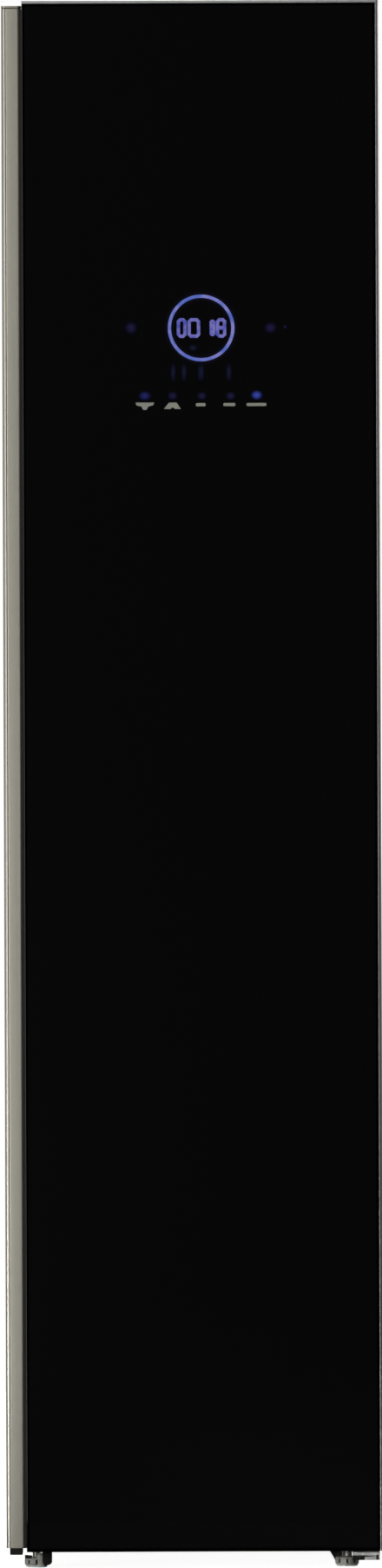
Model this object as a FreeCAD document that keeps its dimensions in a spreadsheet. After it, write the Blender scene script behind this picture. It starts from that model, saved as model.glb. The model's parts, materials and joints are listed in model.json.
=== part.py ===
# Clothes care steam cabinet: a tall, narrow, free-standing cabinet with one
# glass-fronted door, a garment chamber with a moving hanger bar, and a machine
# compartment with a heat pump, a fan and a steam generator below it.
#
# Frame: millimetres, +X to the right as one faces the door, +Y to the back,
# +Z up. The origin is on the ground, under the middle of the whole cabinet.

import FreeCAD
import Part
import Sketcher

import math
import os
import re

V = FreeCAD.Vector

# Driving dimensions.
SIZES = {
    # whole cabinet
    "total_width": 445.0,
    "total_depth": 585.0,
    "total_height": 1850.0,
    "side_inset": 2.5,
    "top_step": 14.0,
    "ground_clearance": 26.0,
    "spacer_depth": 10.0,
    # sheet steel body
    "panel_steel": 1.2,
    "front_flange": 29.0,
    "back_flange": 18.0,
    "base_height": 40.0,
    "base_steel": 2.0,
    "base_flange": 25.0,
    "louvre_width": 150.0,
    "louvre_height": 5.0,
    "louvre_pitch": 16.0,
    "louvre_rise": 84.0,
    "louvre_count": 12,
    # chamber walls
    "foam_side": 26.0,
    "foam_back": 30.0,
    "liner_wall": 2.0,
    "frame_depth": 14.0,
    "frame_sill": 30.0,
    "floor_level": 430.0,
    "floor_plate": 4.0,
    "ceiling_drop": 110.0,
    # clearances
    "seat_gap": 0.3,
    "slot_gap": 0.5,
    "running_gap": 0.05,
    # door
    "door_depth": 56.0,
    "door_gap": 8.0,
    "door_bottom": 22.0,
    "tray_drop": 16.0,
    "tray_steel": 1.2,
    "glass_thickness": 4.0,
    "glass_recess": 1.0,
    "door_liner_wall": 4.0,
    "dyke_height": 14.0,
    "dyke_wall": 3.0,
    "dyke_side_gap": 11.0,
    "dyke_end_gap": 20.0,
    "gasket_width": 10.0,
    "gasket_depth": 7.5,
    "gasket_overlap": 7.2,
    "gasket_bottom_inset": 26.0,
    "gasket_top_inset": 12.0,
    # door edges
    "top_trim_height": 3.5,
    "top_trim_depth": 8.0,
    "side_trim_width": 4.0,
    "side_trim_round": 1.0,
    "rail_width": 24.0,
    "rail_top_drop": 6.5,
    "rail_front": 11.0,
    "rail_back": 12.0,
    "groove_depth": 15.0,
    "rail_outer_round": 4.0,
    "rail_shoulder": 9.0,
    "groove_round": 4.0,
    "rail_cap_top": 2.0,
    "rail_cap_bottom": 8.0,
    "rail_cap_drop": 1.5,
    "rail_cap_inset": 4.0,
    # display behind the glass
    "display_width": 200.0,
    "display_height": 170.0,
    "display_depth": 6.0,
    "display_drop": 410.0,
    "display_offset": 2.0,
    # door hinges
    "hinge_from_side": 17.5,
    "hinge_from_front": 24.0,
    "hinge_pin": 5.0,
    "hinge_pin_length": 18.0,
    "bush_wall": 3.0,
    "bush_length": 20.0,
    "bracket_left": 19.0,
    "bracket_right": 8.0,
    "lower_bracket_right": 13.0,
    "bracket_front": 6.5,
    "lower_bracket_front": 16.5,
    "bracket_plate": 4.0,
    "bracket_reach": 60.0,
    "lower_bracket_gap": 1.5,
    "lower_bracket_height": 9.5,
    "lower_bracket_slot": 2.0,
    "hinge_cover_height": 10.0,
    "hinge_cover_wall": 2.0,
    # feet and rollers
    "foot_pad": 14.0,
    "foot_pad_height": 11.0,
    "foot_stem": 5.0,
    "stem_clearance": 4.0,
    "foot_left_inset": 30.8,
    "foot_right_inset": 38.8,
    "foot_from_front": 23.5,
    "foot_boss_wall": 4.0,
    "foot_boss_height": 30.0,
    "skid_left_width": 11.5,
    "skid_right_width": 31.5,
    "skid_left_inset": 43.6,
    "skid_right_inset": 48.6,
    "skid_left_depth": 7.5,
    "skid_right_depth": 30.0,
    "skid_lift": 3.0,
    "skid_cut": 3.0,
    "skid_taper": 13.0,
    "roller_radius": 13.0,
    "roller_width": 18.0,
    "roller_inset": 48.8,
    "roller_from_back": 45.0,
    "roller_axle": 3.0,
    "roller_ear": 2.0,
    "roller_ear_width": 16.0,
    "roller_ear_wall": 3.0,
    # tanks
    "bay_depth": 115.0,
    "bay_wall": 3.0,
    "divider_height": 230.0,
    "tank_gap": 1.5,
    "tank_height": 250.0,
    "tank_wall": 2.5,
    "tank_deck": 36.0,
    "grip_width": 90.0,
    "grip_height": 22.0,
    "grip_bar": 8.0,
    "lid_thickness": 3.0,
    "lid_pin": 1.5,
    "cheek_height": 8.0,
    "cheek_width": 10.0,
    # lint filter in the chamber floor
    "filter_width": 120.0,
    "filter_depth": 24.0,
    "filter_duct_gap": 6.3,
    "filter_from_duct_side": 80.0,
    "filter_from_duct_front": 44.0,
    "filter_rim": 5.0,
    "filter_rim_height": 4.0,
    "filter_window_margin": 10.0,
    # shelf
    "shelf_rise": 215.0,
    "shelf_thickness": 10.0,
    "shelf_side_gap": 3.0,
    "shelf_setback": 3.3,
    "shelf_back_gap": 8.0,
    "shelf_slot": 14.0,
    "shelf_rib": 10.0,
    "shelf_border": 20.0,
    "peg_radius": 5.0,
    "peg_length": 9.0,
    "peg_inset": 40.0,
    # moving hanger bar
    "bar_radius": 12.0,
    "bar_end_gap": 10.8,
    "bar_drop": 40.0,
    "bar_from_back": 243.1,
    "bar_collar": 2.0,
    "bar_collar_width": 3.0,
    "bar_collar_pitch": 55.0,
    "bar_collar_count": 5,
    "stroke": 15.0,
    "rod_radius": 5.0,
    "rod_spacing": 70.0,
    "rod_length": 300.0,
    "rod_rise": 33.0,
    "rod_block": 12.0,
    "rod_block_height": 12.0,
    "carriage_length": 110.0,
    "carriage_margin": 12.0,
    "carriage_thickness": 22.0,
    "post_spacing": 80.0,
    "post_width": 16.0,
    "post_eye_wall": 4.0,
    "mount_plate": 3.0,
    "mount_margin": 16.0,
    "crank_from_bar": 115.0,
    "crank_radius": 40.0,
    "pulley_width": 10.0,
    "pulley_rise": 28.0,
    "crank_shaft": 6.0,
    "crank_boss_wall": 6.0,
    "crank_pin": 4.0,
    "crank_pin_length": 16.0,
    "pin_clearance": 1.5,
    "yoke_plate": 4.0,
    "yoke_end": 4.0,
    "yoke_width": 60.0,
    "yoke_slot_gap": 0.2,
    "motor_x": 120.0,
    "motor_radius": 35.0,
    "motor_pulley_radius": 16.0,
    "motor_shaft": 4.0,
    "belt_thickness": 2.0,
    "belt_width": 7.0,
    # lamp
    "lamp_width": 120.0,
    "lamp_depth": 14.0,
    "lamp_height": 6.0,
    "lamp_setback": 28.3,
    # machine compartment
    "compressor_side_gap": 25.8,
    "compressor_back_gap": 35.1,
    "compressor_radius": 60.0,
    "compressor_height": 150.0,
    "compressor_cap": 20.0,
    "mount_height": 22.0,
    "mount_radius": 12.0,
    "mount_circle": 44.0,
    "mount_count": 3,
    "fan_side_gap": 28.8,
    "fan_motor_radius": 32.0,
    "fan_motor_height": 54.0,
    "fan_shaft": 4.0,
    "fan_hub": 12.0,
    "fan_case_side": 5.0,
    "fan_case_wall": 3.0,
    "fan_radius": 50.0,
    "fan_tip_gap": 7.0,
    "fan_height": 56.0,
    "fan_blade": 3.0,
    "fan_blade_length": 16.0,
    "fan_blades": 18,
    "fan_inlet": 38.0,
    "fan_seat_gap": 6.0,
    "fan_top_gap": 12.0,
    "duct_left_gap": 20.8,
    "duct_right_gap": 25.8,
    "duct_front_gap": 6.3,
    "duct_depth": 130.0,
    "duct_wall": 2.5,
    "duct_mouth_margin": 5.0,
    "coil_width": 90.0,
    "coil_height": 120.0,
    "coil_gap": 12.0,
    "coil_end_gap": 2.5,
    "coil_top_gap": 9.0,
    "coil_fin": 1.5,
    "coil_fin_pitch": 7.5,
    "coil_tube": 4.0,
    "coil_tube_pitch": 32.0,
    "coil_tube_rise": 24.0,
    "steam_side_gap": 10.8,
    "steam_back_gap": 80.1,
    "steam_width": 100.0,
    "steam_depth": 140.0,
    "steam_height": 100.0,
    "steam_round": 12.0,
    "pipe_radius": 7.0,
    "pipe_wall": 1.5,
    "pipe_bend": 25.0,
    "pipe_drop": 41.0,
    "outlet_from_side": 90.8,
    "outlet_radius": 34.0,
    "outlet_height": 12.0,
    "outlet_wall": 3.0,
    "outlet_hole": 3.0,
    "outlet_hole_circle": 20.0,
    "outlet_holes": 8,
    "control_width": 120.0,
    "control_depth": 50.0,
    "control_height": 200.0,
    "control_from_compressor": 105.0,
    "control_drop": 26.0,
    "inlet_inset": 70.0,
    "inlet_rise": 54.0,
    "inlet_radius": 14.0,
    "inlet_hole": 5.0,
    "inlet_edge": 2.0,
    "inlet_setback": 1.0,
    "vent_slot": 6.0,
    "vent_pitch": 14.0,
    "vent_length": 100.0,
    "vent_count": 5,
    "vent_back_gap": 28.1,
    # back spacers and screws
    "spacer_width": 40.0,
    "spacer_height": 30.0,
    "spacer_inset": 70.0,
    "spacer_low_rise": 334.0,
    "spacer_high_drop": 76.0,
    "screw_head": 4.0,
    "screw_head_height": 1.8,
    "screw_inset": 9.0,
    "lid_screw_y": 90.0,
    "screw_levels": 7,
}

doc = FreeCAD.newDocument("steam_cabinet")
sheet = doc.addObject("Spreadsheet::Sheet", "dim")
for row, (alias, value) in enumerate(SIZES.items(), start=1):
    sheet.set(f"A{row}", alias)
    sheet.set(f"B{row}", str(value))
    sheet.setAlias(f"B{row}", alias)
doc.recompute()

# Planes that several pieces share, as expressions of the driving dimensions.
RIGHT = "(total_width / 2)"
LEFT = "(-total_width / 2)"
FRONT = "(-total_depth / 2)"
BACK = "(total_depth / 2)"
DOOR_BACK = f"({FRONT} + door_depth)"
CASE_FRONT = f"({DOOR_BACK} + door_gap)"
CASE_BACK = f"({BACK} - spacer_depth)"
CASE_SIDE = f"({RIGHT} - side_inset)"
CASE_TOP = "(total_height - top_step)"
CASE_BOTTOM = "ground_clearance"
BASE_TOP = "(ground_clearance + base_height)"
WEB = f"({CASE_SIDE} - panel_steel)"
LID_UNDER = f"({CASE_TOP} - panel_steel)"
FRAME_FRONT = f"({CASE_FRONT} + panel_steel)"
FRAME_BACK = f"({FRAME_FRONT} + frame_depth)"
BACK_FACE = f"({CASE_BACK} - panel_steel)"
BACK_SKIN = f"({BACK_FACE} - panel_steel)"
CHAMBER_SIDE = f"({WEB} - foam_side - liner_wall)"
CHAMBER_BACK = f"({BACK_SKIN} - foam_back - liner_wall)"
FLOOR_UNDER = "(floor_level - floor_plate)"
CEILING = "(total_height - ceiling_drop)"
CEILING_TOP = f"({CEILING} + liner_wall)"
BAY_BACK = f"({FRAME_BACK} + bay_depth)"
BAY_INNER_BACK = f"({BAY_BACK} - bay_wall)"
GLASS_LEFT = f"({LEFT} + rail_width)"
GLASS_RIGHT = f"({RIGHT} - side_trim_width)"
GLASS_FRONT = f"({FRONT} + glass_recess)"
GLASS_BACK = f"({GLASS_FRONT} + glass_thickness)"
GLASS_TOP = "(total_height - top_trim_height)"
TRAY_TOP = "(total_height - tray_drop)"
LINER_FRONT = f"({DOOR_BACK} - door_liner_wall)"
DISPLAY_X = f"(({GLASS_LEFT} + {GLASS_RIGHT}) / 2 + display_offset)"
DISPLAY_LEVEL = "(total_height - display_drop)"
HINGE_X = f"({RIGHT} - hinge_from_side)"
HINGE_Y = f"({FRONT} + hinge_from_front)"
FOOT_LEFT = f"(-{WEB} + foot_left_inset)"
FOOT_RIGHT = f"({WEB} - foot_right_inset)"
FOOT_Y = f"({CASE_FRONT} + foot_from_front)"
ROLLER_X = f"({WEB} - roller_inset)"
ROLLER_Y = f"({CASE_BACK} - roller_from_back)"
SHELF_LOW = "(floor_level + shelf_rise)"
SHELF_TOP = f"({SHELF_LOW} + shelf_thickness)"
SHELF_FRONT = f"({BAY_BACK} + shelf_setback)"
SHELF_BACK = f"({CHAMBER_BACK} - shelf_back_gap)"
BAR_END = f"({CHAMBER_SIDE} - stroke - bar_end_gap)"
BAR_Y = f"({CHAMBER_BACK} - bar_from_back)"
BAR_LEVEL = f"({CEILING} - bar_drop)"
MOUNT_TOP = f"({CEILING_TOP} + mount_plate)"
ROD_END = "(rod_length / 2)"
ROD_LEVEL = f"({CEILING_TOP} + rod_rise)"
ROD_FRONT = f"({BAR_Y} - rod_spacing / 2)"
ROD_BACK = f"({BAR_Y} + rod_spacing / 2)"
CRANK_Y = f"({BAR_Y} + crank_from_bar)"
PULLEY_LOW = f"({CEILING_TOP} + pulley_rise)"
FAN_CASE = "(2 * (fan_radius + fan_tip_gap + fan_case_side))"
FAN_CASE_BOTTOM = f"({BASE_TOP} + fan_motor_height)"
FAN_FLOOR = f"({FAN_CASE_BOTTOM} + fan_case_wall)"
FAN_WHEEL_LOW = f"({FAN_FLOOR} + fan_seat_gap)"
FAN_ROOF = f"({FAN_WHEEL_LOW} + fan_height + fan_top_gap)"
FAN_X = f"({CHAMBER_SIDE} - fan_side_gap - {FAN_CASE} / 2)"
DUCT_LEFT = f"(-{CHAMBER_SIDE} + duct_left_gap)"
DUCT_RIGHT = f"({CHAMBER_SIDE} - duct_right_gap)"
DUCT_FRONT = f"({BAY_BACK} + duct_front_gap)"
DUCT_BACK = f"({DUCT_FRONT} + duct_depth)"
DUCT_BOTTOM = f"({FAN_ROOF} + fan_case_wall)"
DUCT_TOP = f"({DUCT_BOTTOM} + 2 * duct_wall + coil_height + coil_top_gap)"
FAN_Y = f"(({DUCT_FRONT} + {DUCT_BACK}) / 2)"
FILTER_X = f"({DUCT_LEFT} + filter_from_duct_side)"
FILTER_Y = f"({DUCT_FRONT} + filter_from_duct_front)"
COMPRESSOR_X = f"({CHAMBER_SIDE} - compressor_side_gap - compressor_radius)"
COMPRESSOR_Y = f"({BACK_SKIN} - compressor_back_gap - compressor_radius)"
STEAM_X = f"(-{CHAMBER_SIDE} + steam_side_gap + steam_width / 2)"
STEAM_Y = f"({BACK_SKIN} - steam_back_gap - steam_depth / 2)"
OUTLET_X = f"({CHAMBER_SIDE} - outlet_from_side)"
INLET_X = f"(-{CASE_SIDE} + inlet_inset)"
INLET_LEVEL = f"({CASE_BOTTOM} + inlet_rise)"

nodes = {}


def bound(text):
    """Turn the size names in an expression into references to the sheet."""
    return re.sub(r"\b([a-z][a-z_0-9]*)\b(?!\()", r"dim.\1", text)


def bind(item, prop, text):
    item.setExpression(prop, bound(text))


def size(text):
    """The present value of an expression."""
    return float(sheet.evalExpression(bound(text)))


def node(item, label):
    """Name a finished sub-part."""
    item.Label = label
    nodes[label] = item
    return item


def place(item, x, y, z):
    for axis, text in zip("xyz", (x, y, z)):
        bind(item, f"Placement.Base.{axis}", text)


def block(name, x, y, z):
    """A box between low and high expressions on each axis."""
    item = doc.addObject("Part::Box", name)
    for prop, (low, high) in zip(("Length", "Width", "Height"), (x, y, z)):
        bind(item, prop, f"({high}) - ({low})")
    place(item, x[0], y[0], z[0])
    return item


def rod(name, radius, length, start, axis="Z"):
    """A cylinder that runs from its start along one of the frame's axes."""
    turns = {"X": (V(0, 1, 0), 90), "Y": (V(1, 0, 0), -90), "Z": (V(0, 0, 1), 0)}
    item = doc.addObject("Part::Cylinder", name)
    bind(item, "Radius", radius)
    bind(item, "Height", length)
    item.Placement = FreeCAD.Placement(V(), FreeCAD.Rotation(*turns[axis]))
    place(item, *start)
    return item


def fuse(name, items):
    item = doc.addObject("Part::MultiFuse", name)
    item.Shapes = items
    item.Refine = True
    return item


def cut(name, base, tools):
    tool = tools[0] if len(tools) == 1 else fuse(name + "_tools", tools)
    item = doc.addObject("Part::Cut", name)
    item.Base = base
    item.Tool = tool
    item.Refine = True
    return item


def group(name, items):
    """Separate solids that share one node."""
    item = doc.addObject("Part::Compound", name)
    item.Links = items
    return item


def middle(centre, width):
    """Low and high expressions of a width about a centre."""
    return (f"({centre}) - ({width}) / 2", f"({centre}) + ({width}) / 2")


def origin_plane(body, role):
    return next(f for f in body.Origin.OriginFeatures if f.Role == role)


def new_sketch(body, role, offset):
    sketch = body.newObject("Sketcher::SketchObject", f"{body.Name}_sketch")
    sketch.AttachmentSupport = [(origin_plane(body, role), "")]
    sketch.MapMode = "FlatFace"
    bind(sketch, "AttachmentOffset.Base.z", offset)
    return sketch


def outline(sketch, corners):
    """A closed polygon whose every corner is held by expressions."""
    first = sketch.GeometryCount
    points = [V(size(x), size(y), 0) for x, y in corners]
    count = len(points)
    for i, point in enumerate(points):
        sketch.addGeometry(Part.LineSegment(point, points[(i + 1) % count]))
    for i, (x, y) in enumerate(corners):
        here = first + i
        after = first + (i + 1) % count
        sketch.addConstraint(Sketcher.Constraint("Coincident", here, 2, after, 1))
        for kind, text, value in (("DistanceX", x, points[i].x), ("DistanceY", y, points[i].y)):
            index = sketch.addConstraint(Sketcher.Constraint(kind, -1, 1, here, 1, value))
            bind(sketch, f"Constraints[{index}]", text)


def ring(sketch, x, y, radius):
    """A circle whose centre and radius are held by expressions."""
    centre = V(size(x), size(y), 0)
    circle = sketch.addGeometry(Part.Circle(centre, V(0, 0, 1), size(radius)))
    for kind, text, value in (("DistanceX", x, centre.x), ("DistanceY", y, centre.y)):
        index = sketch.addConstraint(Sketcher.Constraint(kind, -1, 1, circle, 3, value))
        bind(sketch, f"Constraints[{index}]", text)
    index = sketch.addConstraint(Sketcher.Constraint("Radius", circle, size(radius)))
    bind(sketch, f"Constraints[{index}]", radius)


def rectangle(x, y):
    return [(x[0], y[0]), (x[1], y[0]), (x[1], y[1]), (x[0], y[1])]


def pad(body, sketch, length):
    feature = body.newObject("PartDesign::Pad", f"{body.Name}_pad")
    feature.Profile = sketch
    bind(feature, "Length", length)
    sketch.Visibility = False
    return feature


def upright(name, loops, z):
    """A section in plan, padded from one height to another."""
    body = doc.addObject("PartDesign::Body", name)
    sketch = new_sketch(body, "XY_Plane", z[0])
    for corners in loops:
        outline(sketch, corners)
    pad(body, sketch, f"({z[1]}) - ({z[0]})")
    return body


def facing(name, loops, y):
    """An outline seen from the front, padded from one depth to another."""
    body = doc.addObject("PartDesign::Body", name)
    sketch = new_sketch(body, "XZ_Plane", f"-({y[1]})")
    for corners in loops:
        outline(sketch, corners)
    pad(body, sketch, f"({y[1]}) - ({y[0]})")
    return body


def round_uprights(body, radius, corners):
    """Fillet the upright edges that stand at the given places in plan."""
    doc.recompute()
    base = body.Tip
    spots = [(size(x), size(y)) for x, y in corners]
    names = []
    for i, edge in enumerate(base.Shape.Edges, start=1):
        ends = [vertex.Point for vertex in edge.Vertexes]
        if len(ends) < 2 or abs(ends[0].z - ends[1].z) < 1:
            continue
        if any(math.dist((p.x, p.y), spot) < 0.01 for p in ends[:1] for spot in spots):
            names.append(f"Edge{i}")
    feature = body.newObject("PartDesign::Fillet", f"{body.Name}_round")
    feature.Base = (base, names)
    bind(feature, "Radius", radius)


def side_panel(label, side):
    """A C-section of sheet steel: web, front flange and back flange."""
    edge = f"{side} * {CASE_SIDE}"
    web = f"{side} * {WEB}"
    front_lip = f"{side} * ({CASE_SIDE} - front_flange)"
    back_lip = f"{side} * ({CASE_SIDE} - back_flange)"
    corners = [
        (edge, CASE_FRONT),
        (edge, CASE_BACK),
        (back_lip, CASE_BACK),
        (back_lip, f"{CASE_BACK} - panel_steel"),
        (web, f"{CASE_BACK} - panel_steel"),
        (web, FRAME_FRONT),
        (front_lip, FRAME_FRONT),
        (front_lip, CASE_FRONT),
    ]
    node(upright(label, [corners], (CASE_BOTTOM, LID_UNDER)), label)


def base_frame():
    """An inverted steel pan with a return flange, foot bosses and roller ears."""
    x = (f"-{WEB}", WEB)
    y = (FRAME_FRONT, BACK_SKIN)
    inner_x = (f"-{WEB} + base_steel", f"{WEB} - base_steel")
    inner_y = (f"{FRAME_FRONT} + base_steel", f"{BACK_SKIN} - base_steel")
    inner_z = (f"{CASE_BOTTOM} + base_steel", f"{BASE_TOP} - base_steel")
    hollow = block("base_hollow", inner_x, inner_y, inner_z)
    mouth = block(
        "base_mouth",
        (f"-{WEB} + base_flange", f"{WEB} - base_flange"),
        (f"{FRAME_FRONT} + base_flange", f"{BACK_SKIN} - base_flange"),
        (CASE_BOTTOM, f"{CASE_BOTTOM} + base_steel"),
    )
    pan = cut("base_pan", block("base_block", x, y, (CASE_BOTTOM, BASE_TOP)), [hollow, mouth])
    solids = [pan]
    holes = []
    boss_radius = "foot_stem + foot_boss_wall"
    depth = f"{inner_z[1]} - {CASE_BOTTOM}"
    for name, foot_x in (("left", FOOT_LEFT), ("right", FOOT_RIGHT)):
        boss_start = (foot_x, FOOT_Y, f"{inner_z[1]} - foot_boss_height")
        solids.append(rod(f"foot_boss_{name}", boss_radius, "foot_boss_height", boss_start))
        hole_start = (foot_x, FOOT_Y, CASE_BOTTOM)
        holes.append(rod(f"foot_hole_{name}", "foot_stem + running_gap", depth, hole_start))
    for side in (-1, 1):
        for edge in (-1, 1):
            near = f"{side} * {ROLLER_X} + {edge} * (roller_width / 2 + slot_gap)"
            far = f"{side} * {ROLLER_X} + {edge} * (roller_width / 2 + slot_gap + roller_ear)"
            ear_x = (near, far) if edge > 0 else (far, near)
            tag = f"{'left' if side < 0 else 'right'}_{'inner' if side * edge < 0 else 'outer'}"
            solids.append(
                block(
                    f"roller_ear_{tag}",
                    ear_x,
                    middle(ROLLER_Y, "roller_ear_width"),
                    ("roller_radius - roller_axle - roller_ear_wall", inner_z[1]),
                )
            )
            holes.append(
                rod(
                    f"axle_hole_{tag}",
                    "roller_axle + running_gap",
                    "roller_ear",
                    (ear_x[0], ROLLER_Y, "roller_radius"),
                    "X",
                )
            )
    node(cut("base_frame", fuse("base_pressing", solids), holes), "base_frame")


def top_panel():
    """The steel lid, with the fascia that closes the drive space in front."""
    lid_x = (f"-{CASE_SIDE}", CASE_SIDE)
    lid = block("lid_plate", lid_x, (CASE_FRONT, CASE_BACK), (LID_UNDER, CASE_TOP))
    lip = f"({CASE_SIDE} - front_flange - seat_gap)"
    fascia = block("lid_fascia", (f"-{lip}", lip), (CASE_FRONT, FRAME_FRONT), (CEILING, LID_UNDER))
    node(fuse("top_panel", [lid, fascia]), "top_panel")


def back_panel():
    """The steel back, with louvres at the machine compartment."""
    body = facing(
        "back_panel",
        [rectangle((f"-{WEB}", WEB), (CASE_BOTTOM, LID_UNDER))],
        (BACK_SKIN, BACK_FACE),
    )
    sketch = new_sketch(body, "XZ_Plane", f"-({BACK_SKIN})")
    louvre_low = f"{CASE_BOTTOM} + louvre_rise"
    louvre_z = (louvre_low, f"{louvre_low} + louvre_height")
    outline(sketch, rectangle(middle("0", "louvre_width"), louvre_z))
    slot = body.newObject("PartDesign::Pocket", "louvre")
    slot.Profile = sketch
    bind(slot, "Length", "panel_steel")
    sketch.Visibility = False
    row = body.newObject("PartDesign::LinearPattern", "louvres")
    row.Originals = [slot]
    row.Direction = (sketch, ["V_Axis"])
    bind(row, "Length", "louvre_pitch * (louvre_count - 1)")
    bind(row, "Occurrences", "louvre_count")
    body.Tip = row
    entry = new_sketch(body, "XZ_Plane", f"-({BACK_SKIN})")
    ring(entry, INLET_X, INLET_LEVEL, "inlet_hole + inlet_edge")
    hole = body.newObject("PartDesign::Pocket", "inlet_entry")
    hole.Profile = entry
    bind(hole, "Length", "panel_steel")
    entry.Visibility = False
    node(body, "back_panel")


def insulation():
    side_y = (FRAME_BACK, f"{BACK_SKIN} - foam_back")
    foam = []
    for name, sign in (("left", -1), ("right", 1)):
        inner = f"{sign} * ({WEB} - foam_side)"
        outer = f"{sign} * {WEB}"
        x = (outer, inner) if sign < 0 else (inner, outer)
        foam.append(block(f"foam_{name}", x, side_y, (BASE_TOP, CEILING_TOP)))
    x = (f"-{WEB}", WEB)
    rear_y = (f"{BACK_SKIN} - foam_back", BACK_SKIN)
    foam.append(block("foam_rear", x, rear_y, (FLOOR_UNDER, CEILING_TOP)))
    node(group("insulation", foam), "insulation")


def side_liner(label, side):
    """A chamber side wall, and the two pegs on it that carry one side of the shelf."""
    inner = f"{side} * {CHAMBER_SIDE}"
    outer = f"{side} * ({CHAMBER_SIDE} + liner_wall)"
    x = (outer, inner) if side < 0 else (inner, outer)
    wall_y = (FRAME_BACK, f"{CHAMBER_BACK} + liner_wall")
    wall = block(f"{label}_wall", x, wall_y, (BASE_TOP, CEILING_TOP))
    start_x = inner if side < 0 else f"{inner} - peg_length"
    level = f"{SHELF_LOW} - seat_gap - peg_radius"
    pegs = [
        rod(f"{label}_peg_{i}", "peg_radius", "peg_length", (start_x, y, level), "X")
        for i, y in enumerate((f"{SHELF_FRONT} + peg_inset", f"{SHELF_BACK} - peg_inset"))
    ]
    return [wall, *pegs]


def chamber_walls():
    sides = side_liner("left_liner", -1) + side_liner("right_liner", 1)
    node(group("side_liners", sides), "side_liners")
    x = (f"-{CHAMBER_SIDE}", CHAMBER_SIDE)
    rear = f"{CHAMBER_BACK} + liner_wall"
    node(block("back_liner", x, (CHAMBER_BACK, rear), (FLOOR_UNDER, CEILING)), "back_liner")
    roof = block("ceiling_sheet", x, (FRAME_BACK, rear), (CEILING, CEILING_TOP))
    node(cut("ceiling_liner", roof, post_slots("ceiling", CEILING, CEILING_TOP)), "ceiling_liner")
    plate = block("floor_sheet", x, (BAY_INNER_BACK, CHAMBER_BACK), (FLOOR_UNDER, "floor_level"))
    tools = [
        block(
            "filter_mouth",
            middle(FILTER_X, "filter_width + 2 * slot_gap"),
            middle(FILTER_Y, "filter_depth + 2 * slot_gap"),
            (FLOOR_UNDER, "floor_level"),
        ),
        rod("steam_mouth", "pipe_radius", "floor_plate", (OUTLET_X, STEAM_Y, FLOOR_UNDER)),
    ]
    for i in range(int(size("vent_count"))):
        low = f"{CHAMBER_BACK} - vent_back_gap - {i} * vent_pitch"
        tools.append(
            block(
                f"return_vent_{i}",
                middle("0", "vent_length"),
                (low, f"{low} + vent_slot"),
                (FLOOR_UNDER, "floor_level"),
            )
        )
    node(cut("chamber_floor", plate, tools), "chamber_floor")


def front_frame():
    """The moulded ring round the mouth, with the sill in front of the tanks."""
    outer = rectangle((f"-{WEB}", WEB), (BASE_TOP, LID_UNDER))
    inner = rectangle((f"-{CHAMBER_SIDE}", CHAMBER_SIDE), (f"{BASE_TOP} + frame_sill", CEILING))
    node(facing("front_frame", [outer, inner], (FRAME_FRONT, FRAME_BACK)), "front_frame")


def tank_bay():
    """Floor, back wall and divider that the two tanks stand in."""
    x = (f"-{CHAMBER_SIDE}", CHAMBER_SIDE)
    deck = f"{BASE_TOP} + bay_wall"
    divider_z = (BASE_TOP, f"{deck} + divider_height")
    bay = [
        block("bay_floor", x, (FRAME_BACK, BAY_BACK), (BASE_TOP, deck)),
        block("bay_rear", x, (BAY_INNER_BACK, BAY_BACK), (BASE_TOP, FLOOR_UNDER)),
        block("bay_divider", middle("0", "bay_wall"), (FRAME_BACK, BAY_BACK), divider_z),
    ]
    node(fuse("tank_bay", bay), "tank_bay")


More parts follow.
